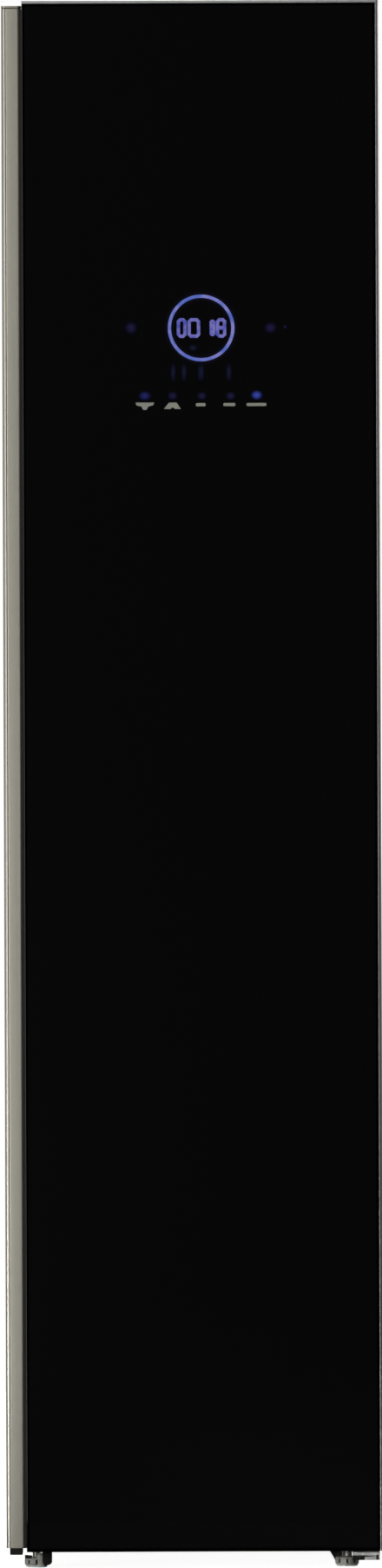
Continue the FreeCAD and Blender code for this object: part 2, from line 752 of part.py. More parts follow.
def tank(label, side):
    """An open tub with a finger grip on its front deck, and a hinged lid."""
    near = "bay_wall / 2 + tank_gap"
    far = f"{CHAMBER_SIDE} - tank_gap"
    x = (f"-({far})", f"-({near})") if side < 0 else (near, far)
    y = (f"{FRAME_BACK} + tank_gap", f"{BAY_INNER_BACK} - slot_gap")
    low = f"{BASE_TOP} + bay_wall + seat_gap"
    rim = f"{low} + tank_height"
    inner_x = (f"{x[0]} + tank_wall", f"{x[1]} - tank_wall")
    inner_y = (f"{y[0]} + tank_wall", f"{y[1]} - tank_wall")
    hollow = block(f"{label}_hollow", inner_x, inner_y, (f"{low} + tank_wall", rim))
    tub = cut(f"{label}_tub", block(f"{label}_block", x, y, (low, rim)), [hollow])
    deck_y = (inner_y[0], f"{y[0]} + tank_deck")
    deck = block(f"{label}_deck", inner_x, deck_y, (f"{rim} - tank_wall", rim))
    centre = f"({x[0]} + {x[1]}) / 2"
    bar_y = middle(f"{y[0]} + tank_deck / 2", "grip_bar")
    arch = block(f"{label}_arch", middle(centre, "grip_width"), bar_y, (rim, f"{rim} + grip_height"))
    reach = block(
        f"{label}_reach",
        middle(centre, "grip_width - 2 * grip_bar"),
        bar_y,
        (rim, f"{rim} + grip_height - grip_bar"),
    )
    grip = cut(f"{label}_grip", arch, [reach])
    pivot_y = f"{y[1]} - cheek_width / 2"
    pivot_z = f"{rim} + seat_gap + lid_thickness"
    solids = [tub, deck, grip]
    holes = []
    for name, cheek_x in (("a", (x[0], inner_x[0])), ("b", (inner_x[1], x[1]))):
        cheek_y = (f"{y[1]} - cheek_width", y[1])
        cheek_z = (rim, f"{rim} + cheek_height")
        solids.append(block(f"{label}_cheek_{name}", cheek_x, cheek_y, cheek_z))
        holes.append(
            rod(
                f"{label}_pin_hole_{name}",
                "lid_pin + running_gap",
                "tank_wall",
                (cheek_x[0], pivot_y, pivot_z),
                "X",
            )
        )
    node(cut(label, fuse(f"{label}_shell", solids), holes), label)

    lid_x = (f"{inner_x[0]} + seat_gap", f"{inner_x[1]} - seat_gap")
    plate = block(
        f"{label}_lid_plate",
        lid_x,
        (f"{y[0]} + tank_deck + slot_gap", pivot_y),
        (f"{rim} + seat_gap", f"{rim} + seat_gap + lid_thickness"),
    )
    span = f"{lid_x[1]} - ({lid_x[0]})"
    barrel_start = (lid_x[0], pivot_y, pivot_z)
    barrel = rod(f"{label}_lid_barrel", "lid_thickness", span, barrel_start, "X")
    pin_start = (f"{lid_x[0]} - tank_wall", pivot_y, pivot_z)
    pin = rod(f"{label}_lid_pin", "lid_pin", f"{span} + 2 * tank_wall", pin_start, "X")
    node(fuse(f"{label}_lid", [plate, barrel, pin]), f"{label}_lid")


def lint_filter():
    """A cassette that hangs by its rim in a slot of the chamber floor."""
    x = middle(FILTER_X, "filter_width")
    y = middle(FILTER_Y, "filter_depth")
    low = f"{DUCT_TOP} + filter_duct_gap"
    rim_low = "floor_level + seat_gap"
    rim_z = (rim_low, f"{rim_low} + filter_rim_height")
    case = block("filter_case", x, y, (low, rim_low))
    window = block(
        "filter_window",
        middle(FILTER_X, "filter_width - 2 * filter_window_margin"),
        middle(FILTER_Y, "filter_depth - 2 * liner_wall"),
        (f"{low} + filter_rim", rim_z[1]),
    )
    rim = block(
        "filter_flange",
        middle(FILTER_X, "filter_width + 2 * filter_rim"),
        middle(FILTER_Y, "filter_depth + 2 * filter_rim"),
        rim_z,
    )
    bar = block("filter_bar", middle(FILTER_X, "filter_rim"), y, rim_z)
    shell = cut("filter_shell", fuse("filter_solid", [case, rim]), [window])
    node(fuse("lint_filter", [shell, bar]), "lint_filter")


def shelf():
    """A slotted shelf for shoes and bags that lifts off its pegs."""
    half = f"({CHAMBER_SIDE} - shelf_side_gap)"
    y = (SHELF_FRONT, SHELF_BACK)
    body = upright("shelf", [rectangle((f"-{half}", half), y)], (SHELF_LOW, SHELF_TOP))
    sketch = new_sketch(body, "XY_Plane", SHELF_TOP)
    first = f"-{half} + shelf_border"
    slot_y = (f"{y[0]} + shelf_border", f"{y[1]} - shelf_border")
    outline(sketch, rectangle((first, f"{first} + shelf_slot"), slot_y))
    slot = body.newObject("PartDesign::Pocket", "shelf_opening")
    slot.Profile = sketch
    bind(slot, "Length", "shelf_thickness")
    sketch.Visibility = False
    pitch = "(shelf_slot + shelf_rib)"
    room = f"(2 * {half} - 2 * shelf_border + shelf_rib)"
    row = body.newObject("PartDesign::LinearPattern", "shelf_openings")
    row.Originals = [slot]
    row.Direction = (sketch, ["H_Axis"])
    bind(row, "Occurrences", f"floor({room} / {pitch})")
    bind(row, "Length", f"{pitch} * (floor({room} / {pitch}) - 1)")
    body.Tip = row
    node(body, "shelf")


def post_slots(name, low, high):
    """Slots that let the hanger posts travel to both sides."""
    slots = []
    for tag, sign in (("left", -1), ("right", 1)):
        slots.append(
            block(
                f"{name}_slot_{tag}",
                middle(f"{sign} * post_spacing / 2", "post_width + 2 * stroke + 2 * slot_gap"),
                middle(BAR_Y, "post_width + 2 * slot_gap"),
                (low, high),
            )
        )
    return slots


def guide_pair(name, radius, length, start_x):
    """Two cylinders along the lines of the guide rods."""
    return [
        rod(f"{name}_{i}", radius, length, (start_x, y, ROD_LEVEL), "X")
        for i, y in enumerate((ROD_FRONT, ROD_BACK))
    ]


def hanger_drive_mount():
    """The plate above the ceiling: rod blocks, crank bearing and motor seat."""
    y = (f"{ROD_FRONT} - mount_margin", f"{CRANK_Y} + crank_radius")
    solids = [block("mount_sheet", (f"-{ROD_END}", ROD_END), y, (CEILING_TOP, MOUNT_TOP))]
    block_y = (f"{ROD_FRONT} - rod_block", f"{ROD_BACK} + rod_block")
    block_z = (MOUNT_TOP, f"{ROD_LEVEL} + rod_block_height")
    for tag, low, high in (
        ("left", f"-{ROD_END}", f"-{ROD_END} + rod_block"),
        ("right", f"{ROD_END} - rod_block", ROD_END),
    ):
        solids.append(block(f"rod_block_{tag}", (low, high), block_y, block_z))
    height = f"{PULLEY_LOW} - slot_gap - {MOUNT_TOP}"
    start = ("0", CRANK_Y, MOUNT_TOP)
    solids.append(rod("crank_boss", "crank_shaft + crank_boss_wall", height, start))
    holes = post_slots("mount", CEILING_TOP, MOUNT_TOP)
    holes.append(rod("crank_bore", "crank_shaft + running_gap", height, start))
    holes += guide_pair("rod_seat", "rod_radius", "rod_length", f"-{ROD_END}")
    node(cut("drive_mount", fuse("mount_casting", solids), holes), "drive_mount")
    rods = guide_pair("guide_rod", "rod_radius", "rod_length", f"-{ROD_END}")
    node(group("guide_rods", rods), "guide_rods")


def hanger_carriage():
    """The block that runs on the rods, its two posts and the slotted yoke."""
    y = (f"{ROD_FRONT} - carriage_margin", f"{ROD_BACK} + carriage_margin")
    z = middle(ROD_LEVEL, "carriage_thickness")
    solids = [block("carriage_block", middle("0", "carriage_length"), y, z)]
    eye = "(2 * (bar_radius + post_eye_wall))"
    for tag, sign in (("left", -1), ("right", 1)):
        x = middle(f"{sign} * post_spacing / 2", "post_width")
        solids.append(block(f"post_{tag}", x, middle(BAR_Y, "post_width"), (BAR_LEVEL, z[0])))
        solids.append(block(f"post_eye_{tag}", x, middle(BAR_Y, eye), middle(BAR_LEVEL, eye)))
    yoke_low = f"{PULLEY_LOW} + pulley_width + crank_pin_length + pin_clearance"
    yoke_z = (yoke_low, f"{yoke_low} + yoke_plate")
    yoke_x = middle("0", "yoke_width")
    yoke_end = f"{CRANK_Y} + stroke + crank_pin + yoke_slot_gap + yoke_end"
    solids.append(block("yoke_arm", yoke_x, (BAR_Y, yoke_end), yoke_z))
    solids.append(block("yoke_riser", yoke_x, (BAR_Y, y[1]), (z[1], yoke_low)))
    bore = "rod_radius + running_gap"
    holes = guide_pair("bush_bore", bore, "carriage_length", "-carriage_length / 2")
    slot_x = middle("0", "2 * (crank_pin + yoke_slot_gap)")
    slot_y = middle(CRANK_Y, "2 * (stroke + crank_pin + yoke_slot_gap)")
    holes.append(block("yoke_slot", slot_x, slot_y, yoke_z))
    bar_start = (f"-{BAR_END}", BAR_Y, BAR_LEVEL)
    holes.append(rod("bar_seat", "bar_radius", f"2 * {BAR_END}", bar_start, "X"))
    node(cut("hanger_carriage", fuse("carriage_casting", solids), holes), "hanger_carriage")


def hanger_bar():
    """The tube that the garments hang on, with collars that space the hooks."""
    start = (f"-{BAR_END}", BAR_Y, BAR_LEVEL)
    solids = [rod("bar_tube", "bar_radius", f"2 * {BAR_END}", start, "X")]
    count = int(size("bar_collar_count"))
    places = [f"-{BAR_END}", f"{BAR_END} - bar_collar_width"]
    for i in range(count):
        step = i - (count - 1) / 2
        places.append(f"{step} * bar_collar_pitch - bar_collar_width / 2")
    for i, x in enumerate(places):
        collar_start = (x, BAR_Y, BAR_LEVEL)
        radius = "bar_radius + bar_collar"
        solids.append(rod(f"bar_collar_{i}", radius, "bar_collar_width", collar_start, "X"))
    node(fuse("hanger_bar", solids), "hanger_bar")


def hanger_drive():
    """Motor, belt and the crank whose pin drives the yoke."""
    height = f"{PULLEY_LOW} - slot_gap - {MOUNT_TOP}"
    seat = ("motor_x", CRANK_Y, MOUNT_TOP)
    shell = rod("motor_can", "motor_radius", height, seat)
    reach = f"{PULLEY_LOW} + pulley_width - {MOUNT_TOP}"
    shaft = rod("motor_spindle", "motor_shaft", reach, seat)
    node(fuse("drive_motor", [shell, shaft]), "drive_motor")
    hub = ("motor_x", CRANK_Y, PULLEY_LOW)
    disc = rod("motor_pulley_disc", "motor_pulley_radius", "pulley_width", hub)
    bore = rod("motor_pulley_bore", "motor_shaft + running_gap", "pulley_width", hub)
    node(cut("motor_pulley", disc, [bore]), "motor_pulley")
    crank_hub = ("0", CRANK_Y, PULLEY_LOW)
    crank_seat = ("0", CRANK_Y, MOUNT_TOP)
    stud = ("0", f"{CRANK_Y} + stroke", PULLEY_LOW)
    crank = [
        rod("crank_disc", "crank_radius", "pulley_width", crank_hub),
        rod("crank_axle", "crank_shaft", f"{PULLEY_LOW} - {MOUNT_TOP}", crank_seat),
        rod("crank_stud", "crank_pin", "pulley_width + crank_pin_length", stud),
    ]
    node(fuse("crank_pulley", crank), "crank_pulley")
    belt = doc.addObject("Part::Feature", "drive_belt")
    belt.Shape = belt_loop("seat_gap + belt_thickness").cut(belt_loop("seat_gap"))
    low = f"{PULLEY_LOW} + (pulley_width - belt_width) / 2"
    belt.Placement.Base = V(0, size(CRANK_Y), size(low))
    node(belt, "drive_belt")


def belt_loop(offset):
    """The space inside a taut loop round both pulleys, at an offset."""
    big = size(f"crank_radius + {offset}")
    small = size(f"motor_pulley_radius + {offset}")
    span = size("motor_x")
    lean = math.acos((big - small) / span)
    rise = V(math.cos(lean), math.sin(lean), 0)
    fall = V(math.cos(lean), -math.sin(lean), 0)
    far = V(span, 0, 0)
    edges = [
        Part.LineSegment(rise * big, far + rise * small).toShape(),
        Part.Arc(far + rise * small, far + V(small, 0, 0), far + fall * small).toShape(),
        Part.LineSegment(far + fall * small, fall * big).toShape(),
        Part.Arc(fall * big, V(-big, 0, 0), rise * big).toShape(),
    ]
    return Part.Face(Part.Wire(edges)).extrude(V(0, 0, size("belt_width")))


def chamber_lamp():
    y = middle(f"{FRAME_BACK} + lamp_setback", "lamp_depth")
    z = (f"{CEILING} - lamp_height", CEILING)
    node(block("chamber_lamp", middle("0", "lamp_width"), y, z), "chamber_lamp")


def door_shell():
    """Glass, steel tray, foam and inner liner of the door."""
    glass_x = (GLASS_LEFT, GLASS_RIGHT)
    glass = block("door_glass", glass_x, (GLASS_FRONT, GLASS_BACK), ("door_bottom", GLASS_TOP))
    node(glass, "door_glass")

    tray_z = ("door_bottom", TRAY_TOP)
    inner_x = (f"{GLASS_LEFT} + tray_steel", f"{GLASS_RIGHT} - tray_steel")
    inner_y = (f"{GLASS_BACK} + tray_steel", LINER_FRONT)
    inner_z = ("door_bottom + tray_steel", f"{TRAY_TOP} - tray_steel")
    hollow = block("tray_hollow", inner_x, inner_y, inner_z)
    window_z = middle(DISPLAY_LEVEL, "display_height + 2 * slot_gap")
    window = block(
        "display_window",
        middle(DISPLAY_X, "display_width + 2 * slot_gap"),
        (GLASS_BACK, inner_y[0]),
        window_z,
    )
    bush_radius = "hinge_pin + bush_wall"
    bush_start = (HINGE_X, HINGE_Y, "door_bottom")
    bush_holes = [
        rod("bush_hole_low", bush_radius, "tray_steel", bush_start),
        rod("bush_hole_high", bush_radius, "tray_steel", (HINGE_X, HINGE_Y, inner_z[1])),
    ]
    tray = block("tray_block", glass_x, (GLASS_BACK, LINER_FRONT), tray_z)
    node(cut("door_tray", tray, [hollow, window, *bush_holes]), "door_tray")

    pocket = block(
        "display_pocket",
        middle(DISPLAY_X, "display_width + 2 * slot_gap"),
        (inner_y[0], f"{GLASS_BACK} + display_depth + slot_gap"),
        window_z,
    )
    high_start = (HINGE_X, HINGE_Y, f"{TRAY_TOP} - bush_length")
    bush_room = [
        rod("bush_room_low", bush_radius, "bush_length", bush_start),
        rod("bush_room_high", bush_radius, "bush_length", high_start),
    ]
    foam = block("door_foam_block", inner_x, inner_y, inner_z)
    node(cut("door_insulation", foam, [pocket, *bush_room]), "door_insulation")

    plate = block("liner_plate", glass_x, (LINER_FRONT, DOOR_BACK), tray_z)
    dyke_x = (f"-{CHAMBER_SIDE} + dyke_side_gap", f"{CHAMBER_SIDE} - dyke_side_gap")
    dyke_z = (f"{BASE_TOP} + frame_sill + dyke_end_gap", f"{CEILING} - dyke_end_gap")
    dyke = block("dyke_block", dyke_x, (DOOR_BACK, f"{DOOR_BACK} + dyke_height"), dyke_z)
    dish = block(
        "dyke_dish",
        (f"{dyke_x[0]} + dyke_wall", f"{dyke_x[1]} - dyke_wall"),
        (LINER_FRONT, f"{DOOR_BACK} + dyke_height - dyke_wall"),
        (f"{dyke_z[0]} + dyke_wall", f"{dyke_z[1]} - dyke_wall"),
    )
    node(cut("door_liner", fuse("liner_moulding", [plate, dyke]), [dish]), "door_liner")

    half = f"({CHAMBER_SIDE} + gasket_overlap)"
    low = "(door_bottom + gasket_bottom_inset)"
    high = f"({TRAY_TOP} - gasket_top_inset)"
    outer = rectangle((f"-{half}", half), (low, high))
    inner_half = f"({half} - gasket_width)"
    inner_z = (f"{low} + gasket_width", f"{high} - gasket_width")
    inner = rectangle((f"-{inner_half}", inner_half), inner_z)
    gasket = facing("door_gasket", [outer, inner], (DOOR_BACK, f"{DOOR_BACK} + gasket_depth"))
    node(gasket, "door_gasket")

    board = block(
        "display_board",
        middle(DISPLAY_X, "display_width"),
        (GLASS_BACK, f"{GLASS_BACK} + display_depth"),
        middle(DISPLAY_LEVEL, "display_height"),
    )
    node(board, "display_board")


def door_edges():
    """Full-height grip rail with its caps, and the trims of the other edges."""
    rail_top = "(total_height - rail_top_drop)"
    rail_low = "(door_bottom - rail_cap_drop + rail_cap_bottom)"
    groove_x = f"({LEFT} + groove_depth)"
    lip_y = f"({FRONT} + rail_front)"
    heel_y = f"({DOOR_BACK} - rail_back)"
    corners = [
        (LEFT, FRONT),
        (GLASS_LEFT, FRONT),
        (GLASS_LEFT, DOOR_BACK),
        (LEFT, DOOR_BACK),
        (LEFT, heel_y),
        (groove_x, heel_y),
        (groove_x, lip_y),
        (LEFT, lip_y),
    ]
    rail = upright("grip_rail", [corners], (rail_low, f"{rail_top} - rail_cap_top"))
    round_uprights(rail, "rail_outer_round", [(LEFT, FRONT)])
    round_uprights(rail, "rail_shoulder", [(GLASS_LEFT, FRONT)])
    round_uprights(rail, "groove_round", [(groove_x, heel_y), (groove_x, lip_y)])
    node(rail, "grip_rail")

    cap_x = (f"{LEFT} + rail_cap_inset", f"{GLASS_LEFT} - rail_cap_inset")
    cap_y = (f"{FRONT} + rail_cap_inset", f"{DOOR_BACK} - rail_cap_inset")
    caps = [
        block("rail_cap_low", cap_x, cap_y, ("door_bottom - rail_cap_drop", rail_low)),
        block("rail_cap_high", cap_x, cap_y, (f"{rail_top} - rail_cap_top", rail_top)),
    ]
    node(group("rail_end_caps", caps), "rail_end_caps")

    top_y = (FRONT, f"{FRONT} + top_trim_depth")
    node(block("top_trim", (GLASS_LEFT, GLASS_RIGHT), top_y, (GLASS_TOP, "total_height")), "top_trim")
    edge = upright(
        "side_trim_profile",
        [rectangle((GLASS_RIGHT, RIGHT), (FRONT, DOOR_BACK))],
        ("door_bottom", "total_height"),
    )
    round_uprights(edge, "side_trim_round", [(RIGHT, FRONT)])
    room_y = (top_y[1], DOOR_BACK)
    room = block("trim_swing_room", (GLASS_RIGHT, RIGHT), room_y, (TRAY_TOP, "total_height"))
    node(cut("side_trim", edge, [room]), "side_trim")


def hinges():
    """Bushes in the door, and the brackets whose pins they turn on."""
    bushes = []
    for tag, low in (("low", "door_bottom"), ("high", f"{TRAY_TOP} - bush_length")):
        start = (HINGE_X, HINGE_Y, low)
        outer = rod(f"bush_{tag}_body", "hinge_pin + bush_wall", "bush_length", start)
        bore = rod(f"bush_{tag}_bore", "hinge_pin + running_gap", "bush_length", start)
        bushes.append(cut(f"bush_{tag}", outer, [bore]))
    node(group("hinge_bushes", bushes), "hinge_bushes")

    x = (f"{HINGE_X} - bracket_left", f"{HINGE_X} + bracket_right")
    plate_z = (CASE_TOP, f"{CASE_TOP} + bracket_plate")
    plate_y = (f"{HINGE_Y} - bracket_front", f"{CASE_FRONT} + bracket_reach")
    plate = block("upper_plate", x, plate_y, plate_z)
    pin = rod(
        "upper_pin",
        "hinge_pin",
        f"{CASE_TOP} - {TRAY_TOP} + hinge_pin_length",
        (HINGE_X, HINGE_Y, f"{TRAY_TOP} - hinge_pin_length"),
    )
    node(fuse("upper_hinge_bracket", [plate, pin]), "upper_hinge_bracket")

    cover_x = (f"{x[0]} - slot_gap - hinge_cover_wall", f"{x[1]} + slot_gap + hinge_cover_wall")
    cover_y = (CASE_FRONT, f"{CASE_FRONT} + bracket_reach + slot_gap + hinge_cover_wall")
    cover = block("cover_block", cover_x, cover_y, (CASE_TOP, f"{CASE_TOP} + hinge_cover_height"))
    room = block(
        "cover_room",
        (f"{x[0]} - slot_gap", f"{x[1]} + slot_gap"),
        (CASE_FRONT, f"{CASE_FRONT} + bracket_reach + slot_gap"),
        (CASE_TOP, f"{CASE_TOP} + hinge_cover_height - hinge_cover_wall"),
    )
    node(cut("hinge_cover", cover, [room]), "hinge_cover")

    low_x = (x[0], f"{HINGE_X} + lower_bracket_right")
    top = "(door_bottom - lower_bracket_gap)"
    nose_y = (f"{HINGE_Y} - lower_bracket_front", DOOR_BACK)
    arm_back = f"{CASE_FRONT} + base_flange"
    slot_z = middle(f"{top} - lower_bracket_height / 2", "lower_bracket_slot")
    slot = block("lower_slot", low_x, (nose_y[0], f"{HINGE_Y} - hinge_pin"), slot_z)
    pin_start = (HINGE_X, HINGE_Y, top)
    solids = [
        block("lower_nose", low_x, nose_y, (f"{top} - lower_bracket_height", top)),
        block("lower_arm", low_x, (DOOR_BACK, arm_back), (f"{top} - bracket_plate", top)),
        block("lower_riser", low_x, (CASE_FRONT, arm_back), (top, CASE_BOTTOM)),
        rod("lower_pin", "hinge_pin", "lower_bracket_gap + hinge_pin_length", pin_start),
    ]
    bracket = cut("lower_hinge_bracket", fuse("lower_solid", solids), [slot])
    node(bracket, "lower_hinge_bracket")


def feet_and_rollers():
    for label, x in (("front_foot_left", FOOT_LEFT), ("front_foot_right", FOOT_RIGHT)):
        stem_top = f"{BASE_TOP} - base_steel - stem_clearance"
        disc = rod(f"{label}_pad", "foot_pad", "foot_pad_height", (x, FOOT_Y, "0"))
        stem = rod(f"{label}_stem", "foot_stem", stem_top, (x, FOOT_Y, "0"))
        node(fuse(label, [disc, stem]), label)
    low, high = middle(f"-{WEB} + skid_left_inset", "skid_left_width")
    corners = [
        (f"{low} + skid_cut", "skid_lift"),
        (f"{high} - skid_cut", "skid_lift"),
        (high, "skid_lift + skid_cut"),
        (high, CASE_BOTTOM),
        (low, CASE_BOTTOM),
        (low, "skid_lift + skid_cut"),
    ]
    skids = [facing("skid_left", [corners], (FRAME_FRONT, f"{FRAME_FRONT} + skid_left_depth"))]
    low, high = middle(f"{WEB} - skid_right_inset", "skid_right_width")
    corners = [
        (f"{low} + skid_taper", "skid_lift"),
        (high, "skid_lift"),
        (high, CASE_BOTTOM),
        (low, CASE_BOTTOM),
    ]
    back_y = f"{FOOT_Y} + foot_pad + slot_gap"
    skids.append(facing("skid_right", [corners], (back_y, f"{back_y} + skid_right_depth")))
    node(group("foot_skids", skids), "foot_skids")
    rollers = []
    half = "(roller_width / 2 + slot_gap + roller_ear)"
    for tag, side in (("left", -1), ("right", 1)):
        wheel_start = (f"{side} * {ROLLER_X} - roller_width / 2", ROLLER_Y, "roller_radius")
        wheel = rod(f"roller_{tag}_wheel", "roller_radius", "roller_width", wheel_start, "X")
        axle_start = (f"{side} * {ROLLER_X} - {half}", ROLLER_Y, "roller_radius")
        axle = rod(f"roller_{tag}_axle", "roller_axle", f"2 * {half}", axle_start, "X")
        rollers.append(fuse(f"roller_{tag}", [wheel, axle]))
    node(group("rear_rollers", rollers), "rear_rollers")


def compressor():
    low = f"{BASE_TOP} + mount_height"
    can_start = (COMPRESSOR_X, COMPRESSOR_Y, low)
    can = rod("compressor_can", "compressor_radius", "compressor_height", can_start)
    dome_radius = "compressor_radius - compressor_cap"
    dome_start = (COMPRESSOR_X, COMPRESSOR_Y, f"{low} + compressor_height")
    dome = rod("compressor_dome", dome_radius, "compressor_cap", dome_start)
    node(fuse("compressor", [can, dome]), "compressor")
    pads = []
    count = int(size("mount_count"))
    for i in range(count):
        turn = 2 * math.pi * i / count
        x = f"{COMPRESSOR_X} + {math.cos(turn):.6f} * mount_circle"
        y = f"{COMPRESSOR_Y} + {math.sin(turn):.6f} * mount_circle"
        pads.append(rod(f"rubber_mount_{i}", "mount_radius", "mount_height", (x, y, BASE_TOP)))
    node(group("compressor_mounts", pads), "compressor_mounts")


def fan():
    """Motor on the deck, its shaft through the case, and the case on top."""
    seat = (FAN_X, FAN_Y, BASE_TOP)
    motor = [
        rod("fan_motor_can", "fan_motor_radius", "fan_motor_height", seat),
        rod("fan_motor_shaft", "fan_shaft", f"{FAN_WHEEL_LOW} + fan_height / 2 - {BASE_TOP}", seat),
    ]
    node(fuse("fan_motor", motor), "fan_motor")
    wheel_start = (FAN_X, FAN_Y, FAN_WHEEL_LOW)
    ring_start = (FAN_X, FAN_Y, f"{FAN_WHEEL_LOW} + fan_height - fan_blade")
    ring_outer = rod("fan_ring_outer", "fan_radius", "fan_blade", ring_start)
    ring_inner = rod("fan_ring_inner", "fan_radius - fan_blade_length", "fan_blade", ring_start)
    solids = [
        rod("fan_disc", "fan_radius", "fan_blade", wheel_start),
        rod("fan_hub", "fan_hub", "fan_height / 2", wheel_start),
        cut("fan_ring", ring_outer, [ring_inner]),
    ]
    count = int(size("fan_blades"))
    blade_x = ("fan_radius - fan_blade_length", "fan_radius - fan_blade / 2")
    blade_z = (FAN_WHEEL_LOW, f"{FAN_WHEEL_LOW} + fan_height")
    for i in range(count):
        blade = block(f"fan_blade_{i}", blade_x, middle("0", "fan_blade"), blade_z)
        turned = doc.addObject("Part::Compound", f"fan_blade_turned_{i}")
        turned.Links = [blade]
        turned.Placement = FreeCAD.Placement(V(), FreeCAD.Rotation(V(0, 0, 1), 360 * i / count))
        bind(turned, "Placement.Base.x", FAN_X)
        bind(turned, "Placement.Base.y", FAN_Y)
        solids.append(turned)
    bore = rod("fan_bore", "fan_shaft + running_gap", "fan_height", wheel_start)
    node(cut("fan_impeller", fuse("fan_wheel", solids), [bore]), "fan_impeller")

    case_x = middle(FAN_X, FAN_CASE)
    case_y = middle(FAN_Y, FAN_CASE)
    case = block("fan_case", case_x, case_y, (FAN_CASE_BOTTOM, DUCT_BOTTOM))
    inner_z = (FAN_FLOOR, FAN_ROOF)
    floor_start = (FAN_X, FAN_Y, FAN_FLOOR)
    room = rod("fan_room", "fan_radius + fan_tip_gap", f"{FAN_ROOF} - {FAN_FLOOR}", floor_start)
    mouth = rod("fan_mouth", "fan_inlet", "fan_case_wall", (FAN_X, FAN_Y, FAN_ROOF))
    hole_start = (FAN_X, FAN_Y, FAN_CASE_BOTTOM)
    shaft_hole = rod("fan_shaft_hole", "fan_shaft + slot_gap", "fan_case_wall", hole_start)
    outlet = block("fan_exit", middle(FAN_X, "2 * fan_inlet"), (FAN_Y, case_y[1]), inner_z)
    node(cut("fan_housing", case, [room, mouth, shaft_hole, outlet]), "fan_housing")


def coil(label, x):
    """A finned coil: a stack of fins on the tubes that run through them."""
    y = (f"{DUCT_FRONT} + duct_wall", f"{DUCT_BACK} - duct_wall")
    low = f"{DUCT_BOTTOM} + duct_wall"
    z = (low, f"{low} + coil_height")
    count = int(size("coil_width") / size("coil_fin_pitch"))
    solids = [block(f"{label}_end", (f"{x[1]} - coil_fin", x[1]), y, z)]
    for i in range(count):
        fin_x = f"{x[0]} + {i} * coil_fin_pitch"
        solids.append(block(f"{label}_fin_{i}", (fin_x, f"{fin_x} + coil_fin"), y, z))
    for i in (-1, 0, 1):
        for j in (-1, 1):
            tube_y = f"{FAN_Y} + {i} * coil_tube_pitch"
            tube_z = f"{low} + coil_height / 2 + {j} * coil_tube_rise"
            tag = f"{label}_tube_{i + 1}_{j + 1}"
            solids.append(rod(tag, "coil_tube", "coil_width", (x[0], tube_y, tube_z), "X"))
    node(fuse(label, solids), label)


def air_path():
    """The duct on the fan case, with both coils of the heat pump in it."""
    inner_x = (f"{DUCT_LEFT} + duct_wall", f"{DUCT_RIGHT} - duct_wall")
    inner_y = (f"{DUCT_FRONT} + duct_wall", f"{DUCT_BACK} - duct_wall")
    inner_z = (f"{DUCT_BOTTOM} + duct_wall", f"{DUCT_TOP} - duct_wall")
    x = (DUCT_LEFT, DUCT_RIGHT)
    outer = block("duct_block", x, (DUCT_FRONT, DUCT_BACK), (DUCT_BOTTOM, DUCT_TOP))
    inner = block("duct_hollow", inner_x, inner_y, inner_z)
    mouth = block(
        "duct_mouth",
        (f"{DUCT_LEFT} + duct_mouth_margin", f"{DUCT_LEFT} + duct_mouth_margin + filter_width"),
        (f"{DUCT_FRONT} + duct_mouth_margin", f"{DUCT_BACK} - duct_mouth_margin"),
        (inner_z[1], DUCT_TOP),
    )
    outlet = rod("duct_outlet", "fan_inlet", "duct_wall", (FAN_X, FAN_Y, DUCT_BOTTOM))
    node(cut("air_duct", outer, [inner, mouth, outlet]), "air_duct")
    first = f"{inner_x[0]} + coil_end_gap"
    coil("evaporator", (first, f"{first} + coil_width"))
    second = f"{first} + coil_width + coil_gap"
    coil("condenser", (second, f"{second} + coil_width"))


def steam_system():
    x = middle(STEAM_X, "steam_width")
    y = middle(STEAM_Y, "steam_depth")
    top = f"{BASE_TOP} + steam_height"
    body = upright("steam_generator", [rectangle(x, y)], (BASE_TOP, top))
    round_uprights(body, "steam_round", rectangle(x, y))
    node(body, "steam_generator")

    level = size(f"{FLOOR_UNDER} - pipe_drop")
    start = V(size(STEAM_X), size(STEAM_Y), size(top))
    end = V(size(OUTLET_X), size(STEAM_Y), size("floor_level"))
    route = [start, V(start.x, start.y, level), V(end.x, end.y, level), end]
    pipe = doc.addObject("Part::Feature", "steam_pipe")
    outer = size("pipe_radius")
    pipe.Shape = bent_rod(route, outer).cut(bent_rod(route, outer - size("pipe_wall")))
    node(pipe, "steam_pipe")

    seat = (OUTLET_X, STEAM_Y, "floor_level")
    dome = rod("outlet_dome", "outlet_radius", "outlet_height", seat)
    holes = [rod("outlet_room", "outlet_radius - outlet_wall", "outlet_height - outlet_wall", seat)]
    count = int(size("outlet_holes"))
    for i in range(count):
        turn = 2 * math.pi * i / count
        hole_x = f"{OUTLET_X} + {math.cos(turn):.6f} * outlet_hole_circle"
        hole_y = f"{STEAM_Y} + {math.sin(turn):.6f} * outlet_hole_circle"
        hole_start = (hole_x, hole_y, "floor_level")
        holes.append(rod(f"outlet_hole_{i}", "outlet_hole", "outlet_height", hole_start))
    node(cut("steam_outlet", dome, holes), "steam_outlet")


